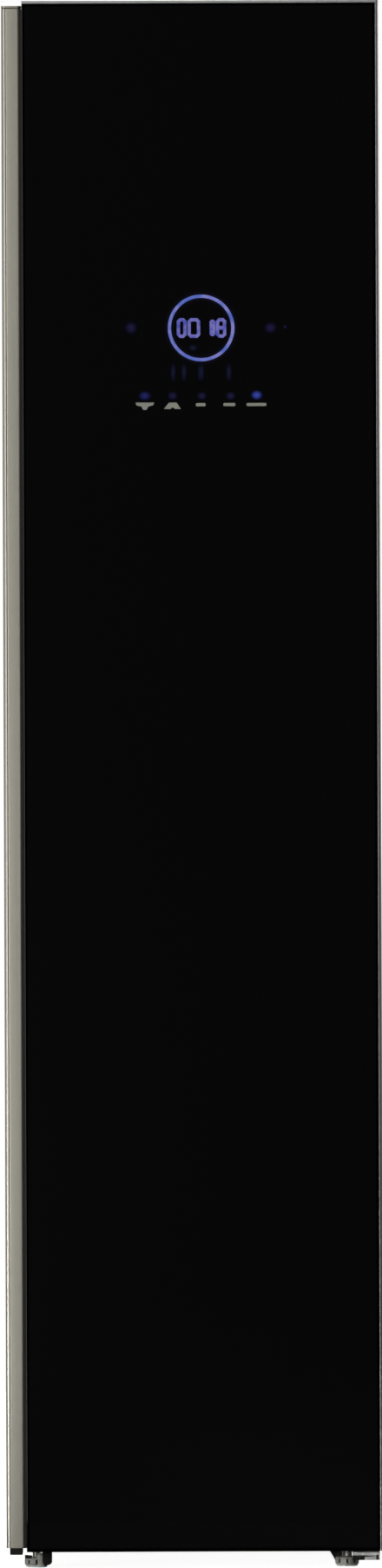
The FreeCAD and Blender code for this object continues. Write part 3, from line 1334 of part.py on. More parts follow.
def bent_rod(route, radius):
    """A round bar along straight runs joined by tangent bends."""
    bend = size("pipe_bend")
    edges = []
    here = route[0]
    for before, corner, after in zip(route, route[1:], route[2:]):
        back = (before - corner).normalize()
        ahead = (after - corner).normalize()
        turn = math.pi - back.getAngle(ahead)
        reach = bend * math.tan(turn / 2)
        enter = corner + back * reach
        leave = corner + ahead * reach
        inward = (back + ahead).normalize()
        centre = corner + inward * (bend / math.cos(turn / 2))
        edges.append(Part.LineSegment(here, enter).toShape())
        edges.append(Part.Arc(enter, centre - inward * bend, leave).toShape())
        here = leave
    edges.append(Part.LineSegment(here, route[-1]).toShape())
    circle = Part.makeCircle(radius, route[0], route[1] - route[0])
    return Part.Wire(edges).makePipeShell([Part.Wire([circle])], True, False)


def electrics():
    box_x = middle(f"{COMPRESSOR_X} - control_from_compressor", "control_width")
    box_top = f"{FLOOR_UNDER} - control_drop"
    box_z = (f"{box_top} - control_height", box_top)
    box = facing("control_box", [rectangle(box_x, box_z)], (f"{BACK_SKIN} - control_depth", BACK_SKIN))
    node(box, "control_box")
    start = (INLET_X, BACK_FACE, INLET_LEVEL)
    boss = rod("inlet_boss", "inlet_radius", "panel_steel + spacer_depth - inlet_setback", start, "Y")
    bore = rod("inlet_bore", "inlet_hole", "panel_steel + spacer_depth", start, "Y")
    node(cut("power_inlet", boss, [bore]), "power_inlet")


def back_spacers():
    """Moulded blocks that hold the cabinet off the wall."""
    blocks = []
    lows = (f"{CASE_BOTTOM} + spacer_low_rise", f"{CASE_TOP} - spacer_high_drop")
    for tag, side in (("left", -1), ("right", 1)):
        x = middle(f"{side} * ({CASE_SIDE} - spacer_inset)", "spacer_width")
        for i, low in enumerate(lows):
            z = (low, f"{low} + spacer_height")
            blocks.append(block(f"spacer_{tag}_{i}", x, (BACK_FACE, BACK), z))
    node(group("rear_spacers", blocks), "rear_spacers")


def screws():
    """Heads of the screws that hold the lid and the back."""
    heads = []
    count = int(size("screw_levels"))
    for tag, side in (("left", -1), ("right", 1)):
        x = f"{side} * ({CASE_SIDE} - screw_inset)"
        for i, y in enumerate((f"{CASE_FRONT} + lid_screw_y", f"{CASE_BACK} - screw_inset")):
            start = (x, y, CASE_TOP)
            heads.append(rod(f"lid_screw_{tag}_{i}", "screw_head", "screw_head_height", start))
        for i in range(count):
            z = f"{BASE_TOP} + {i} * ({LID_UNDER} - {BASE_TOP} - screw_inset) / {count - 1}"
            start = (x, CASE_BACK, z)
            heads.append(rod(f"back_screw_{tag}_{i}", "screw_head", "screw_head_height", start, "Y"))
    node(group("cabinet_screws", heads), "cabinet_screws")


side_panel("left_side_panel", -1)
side_panel("right_side_panel", 1)
base_frame()
top_panel()
back_panel()
insulation()
chamber_walls()
front_frame()
tank_bay()
tank("supply_tank", -1)
tank("drain_tank", 1)
lint_filter()
shelf()
hanger_drive_mount()
hanger_carriage()
hanger_bar()
hanger_drive()
chamber_lamp()
door_shell()
door_edges()
hinges()
feet_and_rollers()
compressor()
fan()
air_path()
steam_system()
electrics()
back_spacers()
screws()

doc.recompute()

for item in doc.Objects:
    if "Invalid" in item.State or "Error" in item.State:
        raise RuntimeError(f"{item.Name} did not build: {item.State}")
for label, item in nodes.items():
    if item.Shape.isNull() or not item.Shape.isValid() or not item.Shape.Solids:
        raise RuntimeError(f"{label} has no valid solid")

os.makedirs("parts", exist_ok=True)
for label, item in nodes.items():
    item.Shape.exportStep(f"parts/{label}.step")
    print(f"{label}: {len(item.Shape.Solids)} solids, {item.Shape.Volume / 1000:.1f} cm3")
print(len(nodes), "nodes")
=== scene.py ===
import json
import math

import bmesh
import bpy
from mathutils import Matrix, Vector


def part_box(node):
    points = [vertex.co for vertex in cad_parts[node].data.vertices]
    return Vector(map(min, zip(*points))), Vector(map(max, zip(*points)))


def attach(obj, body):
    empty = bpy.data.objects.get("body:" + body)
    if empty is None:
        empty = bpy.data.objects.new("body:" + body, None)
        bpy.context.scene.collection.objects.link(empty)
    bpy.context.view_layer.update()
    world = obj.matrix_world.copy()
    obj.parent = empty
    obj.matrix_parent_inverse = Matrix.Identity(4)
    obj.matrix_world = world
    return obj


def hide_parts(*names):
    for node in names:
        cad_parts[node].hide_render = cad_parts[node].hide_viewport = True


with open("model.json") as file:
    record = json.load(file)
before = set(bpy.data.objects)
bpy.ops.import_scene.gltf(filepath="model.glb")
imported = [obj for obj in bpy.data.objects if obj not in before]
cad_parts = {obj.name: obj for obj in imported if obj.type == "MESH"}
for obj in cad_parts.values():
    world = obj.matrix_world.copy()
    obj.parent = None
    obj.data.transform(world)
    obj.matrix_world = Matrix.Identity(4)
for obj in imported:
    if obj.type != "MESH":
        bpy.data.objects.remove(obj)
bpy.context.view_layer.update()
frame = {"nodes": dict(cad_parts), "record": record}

MM = 0.001
FLAT = math.radians(0.5)
CREASE = math.radians(28)
BODY = {
    node: body
    for body, nodes in frame["record"]["behaviour"]["bodies"].items()
    for node in nodes
}
SLOT = {name: node.material_slots[0].name for name, node in frame["nodes"].items()}


def tone(red, green, blue):
    """A colour given in parts of 255, as a linear colour with full cover."""
    parts = [part / 255 for part in (red, green, blue)]
    linear = [p / 12.92 if p <= 0.04045 else ((p + 0.055) / 1.055) ** 2.4 for p in parts]
    return (*linear, 1.0)


def grey(level):
    """A neutral colour given in parts of 255."""
    return tone(level, level, level)


def shade(colour, factor):
    """A colour made darker or brighter."""
    return (*(min(1.0, part * factor) for part in colour[:3]), 1.0)


def box_of(node):
    """A node's lowest and highest corners, in millimetres."""
    low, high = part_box(node)
    return [value / MM for value in low], [value / MM for value in high]


# ---- Finishes ----


def operator(operation, swapped=False):
    """A method that adds one Math node; swapped puts the other value first."""

    def added(self, *others):
        values = (*others, self) if swapped else (self, *others)
        return self.graph.node("Math", dict(enumerate(values)), operation=operation)

    return added


class Signal:
    """A shader socket that arithmetic works on: each operator adds its Math node."""

    def __init__(self, graph, socket):
        self.graph = graph
        self.socket = socket

    __add__ = __radd__ = operator("ADD")
    __sub__, __rsub__ = operator("SUBTRACT"), operator("SUBTRACT", swapped=True)
    __mul__ = __rmul__ = operator("MULTIPLY")
    __truediv__, __rtruediv__ = operator("DIVIDE"), operator("DIVIDE", swapped=True)
    __pow__, __gt__, __abs__ = operator("POWER"), operator("GREATER_THAN"), operator("ABSOLUTE")
    most, least = operator("MAXIMUM"), operator("MINIMUM")

    def held(self):
        """The value kept between 0 and 1."""
        return self.most(0.0).least(1.0)


class Graph:
    """The nodes of a material, a world or a pattern, all added by one method."""

    def __init__(self, tree):
        self.tree = tree

    def feed(self, socket, value):
        if isinstance(value, Signal):
            self.tree.links.new(value.socket, socket)
        else:
            socket.default_value = value

    def node(self, kind, sockets=None, output=0, stops=None, **settings):
        made = self.tree.nodes.new(kind if "Node" in kind else "ShaderNode" + kind)
        for setting, value in settings.items():
            setattr(made, setting, value)
        if stops:
            elements = made.color_ramp.elements
            for place, colour in stops[2:]:
                elements.new(place)
            for element, (place, colour) in zip(elements, stops):
                element.position, element.color = place, colour
        for socket, value in (sockets or {}).items():
            self.feed(made.inputs[socket], value)
        return Signal(self, made.outputs[output])


class Finish(Graph):
    """A material: the fixed values of its shader, and the patterns that change over it."""

    def __init__(self, name, fixed):
        self.name = name
        self.material = bpy.data.materials.new(name)
        self.material.use_nodes = True
        super().__init__(self.material.node_tree)
        self.shader = self.tree.nodes["Principled BSDF"]
        for socket, value in fixed.items():
            self.shader.inputs[socket].default_value = value
        self.place = self.node("TexCoord", output="Object")
        self.x, self.y, self.z = (
            self.node("SeparateXYZ", {0: self.place}, output=axis) for axis in "XYZ"
        )

    def noise(self, grain, stretch=(1, 1, 1), detail=3.0, rough=0.55):
        """Soft noise whose grain is about so many millimetres across, drawn out by stretch."""
        drawn = self.node("Mapping", {"Vector": self.place, "Scale": [1 / s for s in stretch]})
        return self.node(
            "TexNoise",
            {"Vector": drawn, "Scale": 1 / (grain * MM), "Detail": detail, "Roughness": rough},
        )

    def cells(self, grain, output="Color"):
        """Cells about so many millimetres across."""
        sockets = {"Vector": self.place, "Scale": 1 / (grain * MM)}
        return self.node("TexVoronoi", sockets, output=output, feature="F1")

    def mixed(self, factor, first, second):
        """first where factor is 0, second where it is 1."""
        sockets = {0: factor, 6: first, 7: second}
        return self.node("Mix", sockets, output=2, data_type="RGBA")

    def relief(self, height, depth, strength=1.0, under=None):
        """A bump of so many millimetres, over another one if it is given."""
        sockets = {"Height": height, "Distance": depth * MM, "Strength": strength}
        if under:
            sockets["Normal"] = under
        return self.node("Bump", sockets)

    def worn(self, **signals):
        """Links what changes over the surface, each to the shader's socket of that name."""
        for socket, value in signals.items():
            self.feed(self.shader.inputs[socket.replace("_", " ")], value)
        return self

    def span(self, value, low, high):
        """0 at low, 1 at high, both in millimetres along a coordinate."""
        return ((value - low * MM) / ((high - low) * MM)).held()


def metal(name, base, rough, grain, stretch, depth, spread=0.12, shift=0.08, **fixed):
    """A bare metal with a grain drawn out by stretch, and small changes of tone."""
    made = Finish(name, {"Metallic": 1.0, "Roughness": rough, **fixed})
    lines = made.noise(grain, stretch, detail=4.0)
    cloud = made.noise(90, detail=2.0)
    level = (lines - 0.5) * spread + 1.0 + (cloud - 0.5) * spread
    return made.worn(
        Base_Color=made.mixed((level - 0.5).held(), shade(base, 0.5), shade(base, 1.5)),
        Roughness=((lines - 0.5) * shift + (cloud - 0.5) * shift + rough).held(),
        Normal=made.relief(lines, depth),
    )


def plastic(name, base, rough, grain, depth, fade=0.06, **fixed):
    """A moulded plastic with a fine spark-eroded grain and a slightly uneven sheen."""
    made = Finish(name, {"Roughness": rough, **fixed})
    pits = made.noise(grain, detail=2.0)
    cloud = made.noise(60, detail=3.0)
    return made.worn(
        Base_Color=made.mixed(cloud, shade(base, 1 - fade), shade(base, 1 + fade)),
        Roughness=((cloud - 0.5) * 0.12 + (pits - 0.5) * 0.06 + rough).held(),
        Normal=made.relief(pits, depth),
    )


RING_X, RING_Z, RING_R = 12.2, 1463.9, 37.4


def black_glass():
    """Tempered glass printed black behind, with a solid printed line round its edge, and a painted
    glow of the timer ring's light on the glass round it.
    """
    made = Finish("black_glass", {"Roughness": 0.05, "IOR": 1.5, "Emission Strength": 1.0})
    low, high = box_of("door_glass")
    side_line, foot_line, head_line, ring_glow_width = 3.4, 4.4, 3.0, 9.0
    edge = made.span(made.x, low[0], low[0] + side_line)
    for coordinate, start, end in (
        (made.x, high[0], high[0] - side_line),
        (made.z, low[2], low[2] + foot_line),
        (made.z, high[2], high[2] - head_line),
    ):
        edge = edge.least(made.span(coordinate, start, end))
    field = (edge > 0.96) * 1.0
    smear = made.noise(140, (1, 1, 2.5), detail=4.0)
    across, up = made.x - RING_X * MM, made.z - RING_Z * MM
    away = (across ** 2.0 + up ** 2.0) ** 0.5 / MM
    # Painted glow: the timer ring's light drawn as emission on the glass round the ring.
    painted_ring_glow = (1.0 - (abs(away - RING_R) / ring_glow_width)).held() ** 2.4
    return made.worn(
        Base_Color=made.mixed(field, tone(1, 1, 1), tone(13, 13, 13)),
        Roughness=0.035 + (smear - 0.45).held() * 0.06,
        Emission_Color=made.mixed(painted_ring_glow, tone(0, 0, 0), tone(15, 15, 34)),
        Normal=made.relief(made.noise(220, detail=1.0), 0.25, 0.2),
    )


def rail_aluminium():
    """Warm anodised aluminium with the fine lengthwise lines of its extrusion."""
    made = Finish("rail_aluminium", {"Metallic": 1.0})
    lines = made.noise(0.35, (1, 1, 900), detail=3.0)
    broad = made.noise(3.0, (1, 1, 300), detail=2.0)
    speck = made.noise(0.6, detail=1.0)
    level = (lines * 0.45 + broad * 0.4 + speck * 0.15).held()
    return made.worn(
        Base_Color=made.mixed(level, tone(150, 147, 136), tone(196, 192, 180)),
        Roughness=(0.4 + (lines - 0.5) * 0.16).held(),
        Normal=made.relief(lines, 0.02, 0.6, made.relief(speck, 0.012, 0.4)),
    )


def case_paint():
    """Graphite powder paint with a light orange peel and a few dull handling marks."""
    made = Finish("case_paint", {"IOR": 1.48})
    peel = made.noise(1.6, detail=2.0)
    cloud = made.noise(240, (1, 1, 1.8), detail=4.0)
    fleck = (made.noise(0.5, detail=1.0) - 0.62).held() * 4.0
    body = made.mixed(cloud, tone(74, 75, 78), tone(83, 84, 87))
    return made.worn(
        Base_Color=made.mixed(fleck.held() * 0.35, body, tone(118, 120, 124)),
        Roughness=(0.38 + (cloud - 0.5) * 0.14 + (peel - 0.5) * 0.05).held(),
        Normal=made.relief(peel, 0.05, 0.5),
    )


def galvanised_steel():
    """Zinc-coated sheet with its spangle."""
    made = Finish("galvanised_steel", {"Metallic": 1.0})
    spangle = made.node("SeparateColor", {0: made.cells(9)})
    grain = made.node("SeparateColor", {0: made.cells(3.5)}, output=1)
    cloud = made.noise(160, detail=4.0)
    level = (spangle * 0.5 + grain * 0.2 + cloud * 0.3).held()
    return made.worn(
        Base_Color=made.mixed(level, tone(158, 161, 164), tone(203, 206, 208)),
        Roughness=(0.30 + spangle * 0.14 + (cloud - 0.5) * 0.16).held(),
        Normal=made.relief(spangle, 0.02, 0.25),
    )


def foam():
    """Rigid foam with open cells."""
    made = Finish("foam", {"Roughness": 0.95})
    pores = made.cells(1.6, output="Distance")
    cloud = made.noise(45, detail=4.0)
    return made.worn(
        Base_Color=made.mixed(cloud, tone(222, 205, 160), tone(238, 226, 190)),
        Normal=made.relief(pores, 0.5, 0.8),
    )


def seal_rubber():
    """Dull black rubber with a faint bloom."""
    made = Finish("seal_rubber", {"IOR": 1.45})
    bloom = made.noise(24, (1, 1, 3), detail=4.0)
    pits = made.noise(0.8, detail=2.0)
    return made.worn(
        Base_Color=made.mixed(bloom, tone(22, 22, 23), tone(36, 36, 37)),
        Roughness=(0.62 + (bloom - 0.5) * 0.25).held(),
        Normal=made.relief(pits, 0.04, 0.6),
    )


def clear_plastic(name, base, cover):
    """A water tank's tinted see-through plastic, with flow lines and a duller inside."""
    made = Finish(name, {"IOR": 1.49, "Roughness": 0.12})
    flow = made.noise(30, (1, 1, 2.2), detail=3.0)
    pits = made.noise(0.7, detail=1.0)
    return made.worn(
        Base_Color=made.mixed(flow, shade(base, 0.85), base),
        Alpha=(cover + (flow - 0.5) * 0.12).held(),
        Roughness=(0.14 + (flow - 0.5) * 0.1).held(),
        Normal=made.relief(pits, 0.02, 0.4),
    )


def lamp_diffuser():
    """An opal lamp cover that glows softly, most in its middle."""
    made = Finish("lamp_diffuser", {"Roughness": 0.5, "Emission Strength": 5.0})
    low, high = box_of("chamber_lamp")
    middle = (low[0] + high[0]) / 2
    reach = (1.0 - abs(made.x - middle * MM) / ((high[0] - low[0]) * MM)).held()
    return made.worn(
        Base_Color=made.mixed(reach, tone(226, 226, 220), tone(246, 246, 242)),
        Emission_Color=made.mixed(reach, tone(120, 118, 108), tone(255, 250, 236)),
        Normal=made.relief(made.noise(1.2), 0.04, 0.5),
    )


def glowing(name, first, second, grain):
    """A lit display mark whose colour wanders a little along it."""
    made = Finish(name, {"Roughness": 0.06, "Emission Strength": 1.0})
    wander = ((made.noise(grain, detail=1.0, rough=0.4) - 0.5) * 2.6 + 0.5).held()
    return made.worn(
        Base_Color=made.mixed(wander, tone(4, 4, 8), tone(8, 8, 12)),
        Emission_Color=made.mixed(wander, first, second),
        Roughness=(0.05 + wander * 0.03).held(),
    )


def fading(name, colour):
    """A dim light that fades towards the rim of its mark, as its attribute says."""
    made = Finish(name, {"Roughness": 0.06, "Emission Strength": 1.0})
    fade = made.node("Attribute", attribute_name="fade", output="Fac")
    return made.worn(
        Base_Color=made.mixed(fade, tone(9, 9, 10), tone(8, 8, 12)),
        Emission_Color=made.mixed(fade, tone(0, 0, 0), colour),
        Alpha=fade.held(),
    )


def floor_paint():
    """A pale studio floor that reads near-white to the eye and dull in reflections."""
    made = plastic("floor_paint", grey(240), 0.8, 40, 0.4, 0.01)
    dull = made.node("BsdfDiffuse", {"Color": grey(30)})
    lit = made.node("Emission", {"Color": grey(255), "Strength": 0.94})
    lifted = made.node("AddShader", {0: Signal(made, made.shader.outputs[0]), 1: lit})
    eye = made.node("LightPath", output="Is Camera Ray")
    surface = made.tree.nodes["Material Output"].inputs["Surface"]
    made.feed(surface, made.node("MixShader", {0: eye, 1: dull, 2: lifted}))
    return made


FINISHES = {made.name: made for made in (
    black_glass(),
    rail_aluminium(),
    metal("trim_aluminium", grey(186), 0.42, 0.4, (120, 1, 120), 0.01, Metallic=0.85),
    case_paint(),
    galvanised_steel(),
    metal("plated_steel", tone(226, 225, 220), 0.4, 0.8, (1, 6, 1), 0.02, Metallic=0.35),
    plastic("black_steel", grey(26), 0.34, 1.4, 0.06),
    foam(),
    plastic("liner_plastic", tone(206, 208, 210), 0.36, 1.1, 0.04, 0.02),
    plastic("frame_plastic", tone(92, 93, 96), 0.46, 0.9, 0.05),
    clear_plastic("clear_plastic", tone(196, 214, 230), 0.42),
    clear_plastic("smoke_plastic", tone(112, 118, 126), 0.62),
    plastic("black_plastic", grey(10), 0.62, 0.9, 0.06, IOR=1.36),
    plastic("foot_plastic", tone(172, 172, 164), 0.55, 1.0, 0.06),
    seal_rubber(),
    metal("bar_chrome", grey(235), 0.07, 0.5, (60, 1, 1), 0.003, 0.03, 0.05),
    metal("coil_aluminium", grey(215), 0.28, 1.2, (1, 1, 8), 0.02),
    lamp_diffuser(),
    plastic("display_black", grey(14), 0.22, 1.2, 0.02),
    glowing("ring_light", tone(78, 100, 184), tone(124, 124, 192), 9),
    glowing("digit_light", tone(72, 78, 164), tone(116, 112, 182), 6),
    plastic("print_ink", tone(158, 158, 146), 0.6, 0.8, 0.02, 0.12),
    fading("dim_violet", tone(27, 24, 56)),
    fading("dim_blue", tone(20, 22, 44)),
    fading("key_blue", tone(34, 36, 92)),
    fading("bright_blue", tone(54, 68, 160)),
    plastic("cream_plastic", tone(246, 245, 234), 0.5, 1.0, 0.05),
    metal("zinc_screw", tone(206, 206, 200), 0.24, 0.7, (1, 1, 1), 0.02),
    floor_paint(),
    plastic("filter_cloth", tone(120, 122, 126), 0.8, 0.5, 0.2, 0.2),
)}


# ---- Shapes ----


def placed(axis, across, up, along):
    """A point given across, up and along an axis, as x, y, z."""
    points = {"X": (along, across, up), "Y": (across, along, up), "Z": (across, up, along)}
    return Vector(points[axis])


def metres(*values):
    return tuple(value * MM for value in values)


def arc(centre, radius, turns):
    """Points at so many degrees of turn round a centre."""
    angles = (math.radians(turn) for turn in turns)
    return [(centre[0] + radius * math.cos(a), centre[1] + radius * math.sin(a)) for a in angles]


def rounded(x, y, radius, steps=5):
    """A rectangle's outline with round corners; x and y are its two limits each way."""
    outline = []
    for quarter, corner in enumerate(((x[1], y[1]), (x[0], y[1]), (x[0], y[0]), (x[1], y[0]))):
        centre = [
            place - math.copysign(radius, place - sum(limits) / 2)
            for place, limits in zip(corner, (x, y))
        ]
        outline += arc(centre, radius, (90 * (quarter + i / steps) for i in range(steps + 1)))
    return outline


def eased(corners, steps=6):
    """An outline whose corners, given as (x, y, radius), are rounded by tangent arcs."""
    outline = []
    for i, (x, y, radius) in enumerate(corners):
        here = Vector((x, y))
        if not radius:
            outline.append((x, y))
            continue
        before = (Vector(corners[i - 1][:2]) - here).normalized()
        after = (Vector(corners[(i + 1) % len(corners)][:2]) - here).normalized()
        half = before.angle(after) / 2
        middle = here + (before + after).normalized() * radius / math.sin(half)
        first = here + before * radius / math.tan(half) - middle
        last = here + after * radius / math.tan(half) - middle
        sweep = first.angle_signed(last)
        for step in range(steps + 1):
            point = Matrix.Rotation(-sweep * step / steps, 2) @ first + middle
            outline.append((point.x, point.y))
    return outline


def circle(centre, radius, steps):
    """A round outline."""
    return arc(centre, radius, (360 * step / steps for step in range(steps)))


def sector(centre, outer, inner, turns):
    """The outline of a part of a band between two radii."""
    return arc(centre, outer, turns) + arc(centre, inner, reversed(turns))


def octagon(x, z, cut):
    """A rectangle's outline with cut corners."""
    return [
        (x[0] + cut, z[0]), (x[1] - cut, z[0]), (x[1], z[0] + cut), (x[1], z[1] - cut),
        (x[1] - cut, z[1]), (x[0] + cut, z[1]), (x[0], z[1] - cut), (x[0], z[0] + cut),
    ]


def wrap(part, rings):
    """Joins each ring of corners to the next with faces; a ring of one corner is a pole."""
    for near, far in zip(rings, rings[1:]):
        steps = max(len(near), len(far))
        for i in range(steps):
            after = (i + 1) % steps
            corners = (
                near[i % len(near)], near[after % len(near)],
                far[after % len(far)], far[i % len(far)],
            )
            part.faces.new(list(dict.fromkeys(corners)))


class Shape:
    """A piece being made, in millimetres; skin is the place of its finish among the piece's."""

    def __init__(self):
        self.mesh = bmesh.new()

    def keep(self, part, edge=0.0, steps=2, skin=0, outward=True):
        """Adds a part, with its sharp edges rounded off by edge."""
        if outward:
            bmesh.ops.recalc_face_normals(part, faces=part.faces)
        if edge:
            sharp = [e for e in part.edges if e.is_manifold and e.calc_face_angle(0) > CREASE]
            bmesh.ops.bevel(
                part, geom=sharp, offset=edge, segments=steps, profile=0.5,
                affect="EDGES", clamp_overlap=True,
            )
        for face in part.faces:
            face.material_index = skin
        carrier = bpy.data.meshes.new("part")
        part.to_mesh(carrier)
        part.free()
        self.mesh.from_mesh(carrier)
        bpy.data.meshes.remove(carrier)
        return self

    def box(self, x, y, z, edge=0.0, steps=2):
        outline = [(x[0], y[0]), (x[1], y[0]), (x[1], y[1]), (x[0], y[1])]
        return self.prism(outline, z, "Z", edge, steps)

    def prism(self, outline, ends, axis="Z", edge=0.0, steps=2, skin=0):
        """An outline drawn out along an axis."""
        part = bmesh.new()
        rings = [[part.verts.new(placed(axis, u, v, end)) for u, v in outline] for end in ends]
        part.faces.new(rings[0])
        part.faces.new(reversed(rings[1]))
        wrap(part, rings)
        return self.keep(part, edge, steps, skin)

    def frame(self, outer, inner, ends, axis, edge=0.0):
        """The band between two outlines with as many points each, drawn out along an axis."""
        part = bmesh.new()
        rings = [
            [part.verts.new(placed(axis, u, v, ends[end])) for u, v in outline]
            for outline, end in ((outer, 0), (outer, 1), (inner, 1), (inner, 0))
        ]
        wrap(part, rings + rings[:1])
        return self.keep(part, edge)

    def border(self, x, y, radii, width, ends, edge, axis="Y", steps=6):
        """A band inside a rectangle; radii are those of its outer and its inner corners."""
        inner = [(start + width, end - width) for start, end in (x, y)]
        lines = rounded(x, y, radii[0], steps), rounded(*inner, radii[1], steps)
        return self.frame(*lines, ends, axis, edge)

    def turned(self, profile, centre, steps, axis="Z", skin=0):
        """A profile of (radius, place along) points turned about an axis through centre."""
        part = bmesh.new()
        rings = [
            [
                part.verts.new(placed(axis, u, v, along))
                for u, v in (circle(centre, radius, steps) if radius else [centre])
            ]
            for radius, along in profile
        ]
        wrap(part, rings)
        for ring in (rings[0], rings[-1]):
            if len(ring) > 1:
                part.faces.new(ring)
        return self.keep(part, skin=skin)

    def node(self, name, edge=0.0, steps=2):
        """A CAD node's surface with its corners joined."""
        part = bmesh.new()
        part.from_mesh(frame["nodes"][name].data)
        bmesh.ops.scale(part, vec=(1 / MM,) * 3, verts=part.verts)
        bmesh.ops.remove_doubles(part, verts=part.verts, dist=0.002)
        bmesh.ops.dissolve_limit(part, angle_limit=FLAT, verts=part.verts, edges=part.edges)
        return self.keep(part, edge, steps, outward=False)

    def rotated(self, turn, centre, axis):
        """Turns all that is made so far about an axis through centre."""
        spin = Matrix.Rotation(math.radians(turn), 3, axis)
        bmesh.ops.rotate(self.mesh, verts=self.mesh.verts, cent=centre, matrix=spin)
        return self


def mesh_of(shape, name, *finishes):
    """The shape's mesh in metres, with its finishes and with smooth faces between its edges."""
    mesh = bpy.data.meshes.new(name)
    bmesh.ops.scale(shape.mesh, vec=(MM,) * 3, verts=shape.mesh.verts)
    shape.mesh.to_mesh(mesh)
    shape.mesh.free()
    mesh.polygons.foreach_set("use_smooth", [True] * len(mesh.polygons))
    mesh.set_sharp_from_angle(angle=CREASE)
    for finish in finishes:
        mesh.materials.append(FINISHES[finish].material)
    return mesh


def settled(thing):
    """Bakes an object's modifiers into a plain mesh."""
    bpy.context.view_layer.update()
    baked = bpy.data.meshes.new_from_object(
        thing.evaluated_get(bpy.context.evaluated_depsgraph_get())
    )
    thing.modifiers.clear()
    thing.data = baked
    return thing


def shown(name, data):
    """A new object with that mesh, lamp or lens, in the scene."""
    thing = bpy.data.objects.new(name, data)
    bpy.context.collection.objects.link(thing)
    return thing


def fitted(thing, on, replaces=False):
    """Ties a finished piece to its CAD node's body, hiding the node when the piece replaces it."""
    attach(thing, BODY[on])
    if replaces:
        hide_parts(on)


def piece(name, shape, finish, on, replaces=False):
    """A finished piece on a CAD node, with one finish or a list of them."""
    finishes = [finish] if isinstance(finish, str) else finish
    thing = shown(name, mesh_of(shape, name, *finishes))
    thing.modifiers.new("even_shading", "WEIGHTED_NORMAL").keep_sharp = True
    fitted(settled(thing), on, replaces)


def softened(edge, steps, *nodes):
    """CAD nodes' own surfaces with their sharp edges eased, each in its own finish."""
    for node in nodes:
        piece(node + "_eased", Shape().node(node, edge, steps), SLOT[node], node, replaces=True)


# ---- Repeats ----


class Pattern(Graph):
    """A Geometry Nodes tree that repeats the mesh it is put on."""

    def __init__(self, name, inputs):
        super().__init__(bpy.data.node_groups.new(name, "GeometryNodeTree"))
        face = self.tree.interface
        kinds = {"Item": "Geometry", **inputs, "Finish": "Material"}
        self.key = {
            label: face.new_socket(
                label, in_out="INPUT", socket_type="NodeSocket" + kind
            ).identifier
            for label, kind in kinds.items()
        }
        face.new_socket("Result", in_out="OUTPUT", socket_type="NodeSocketGeometry")
        given = self.tree.nodes.new("NodeGroupInput").outputs
        self.given = {label: Signal(self, given[label]) for label in kinds}

    def line(self, start, step):
        """Points in a straight row."""
        sockets = {"Count": self.given["Count"], "Start Location": start, "Offset": step}
        return self.node("GeometryNodeMeshLine", sockets, mode="OFFSET")

    def turn(self, angle):
        """A turn about the given axis."""
        sockets = {"Axis": self.given["Axis"], "Angle": angle}
        return {"Rotation": self.node("FunctionNodeAxisAngleToRotation", sockets)}

    def instances(self, points, **turn):
        """Puts the item on every point, makes it real and dresses it."""
        sockets = {"Points": points, "Instance": self.given["Item"], **turn}
        copies = self.node("GeometryNodeInstanceOnPoints", sockets)
        real = self.node("GeometryNodeRealizeInstances", {0: copies})
        dressed = self.node("GeometryNodeSetMaterial", {0: real, "Material": self.given["Finish"]})
        self.feed(self.tree.nodes.new("NodeGroupOutput").inputs[0], dressed)
        return self

    def repeat(self, name, shape, finish, on, replaces=False, **values):
        """A piece of copies of the shape, with the tree's inputs set to values."""
        thing = shown(name, mesh_of(shape, name, finish))
        modifier = thing.modifiers.new("repeat", "NODES")
        modifier.node_group = self.tree
        for label, value in {**values, "Finish": FINISHES[finish].material}.items():
            modifier[self.key[label]] = value
        fitted(settled(thing), on, replaces)


def row_pattern():
    """Copies in a straight row."""
    made = Pattern("row", {"Count": "Int", "Start": "Vector", "Step": "Vector"})
    return made.instances(made.line(made.given["Start"], made.given["Step"]))


def ring_pattern():
    """Copies turned round an axis through a centre, at even angles."""
    made = Pattern("ring", {"Count": "Int", "Centre": "Vector", "Axis": "Vector"})
    points = made.line(made.given["Centre"], (0, 0, 0))
    angle = made.node("GeometryNodeInputIndex") * (2 * math.pi / made.given["Count"])
    return made.instances(points, **made.turn(angle))


def places_pattern():
    """Copies on the points of another mesh, each turned by chance about an axis."""
    made = Pattern("places", {"Places": "Object", "Axis": "Vector", "Seed": "Int"})
    points = made.node(
        "GeometryNodeObjectInfo", {"Object": made.given["Places"]}, output="Geometry",
        transform_space="ORIGINAL",
    )
    angle = made.node(
        "FunctionNodeRandomValue", {"Min": 0.0, "Max": 2 * math.pi, "Seed": made.given["Seed"]},
        output=1, data_type="FLOAT",
    )
    return made.instances(points, **made.turn(angle))


ROW, RING, PLACES = row_pattern(), ring_pattern(), places_pattern()


def in_row(name, shape, finish, on, count, start, step):
    ROW.repeat(name, shape, finish, on, Count=count, Start=metres(*start), Step=metres(*step))


def in_ring(name, shape, finish, on, count, centre, axis):
    RING.repeat(name, shape, finish, on, Count=count, Centre=metres(*centre), Axis=axis)


def at_places(name, shape, finish, on, places, axis, seed, replaces=False):
    """Copies of the shape at places, in millimetres; the mesh that holds them is then removed."""
    holder = bpy.data.meshes.new("places")
    holder.from_pydata([metres(*place) for place in places], [], [])
    marks = bpy.data.objects.new("places", holder)
    PLACES.repeat(name, shape, finish, on, replaces, Places=marks, Axis=axis, Seed=seed)
    bpy.data.objects.remove(marks)


# ---- Door front ----


def glass_pane():
    low, high = box_of("door_glass")
    pane = Shape().box(*zip(low, high), edge=0.7, steps=3)
    piece("glass_pane", pane, "black_glass", "door_glass", replaces=True)


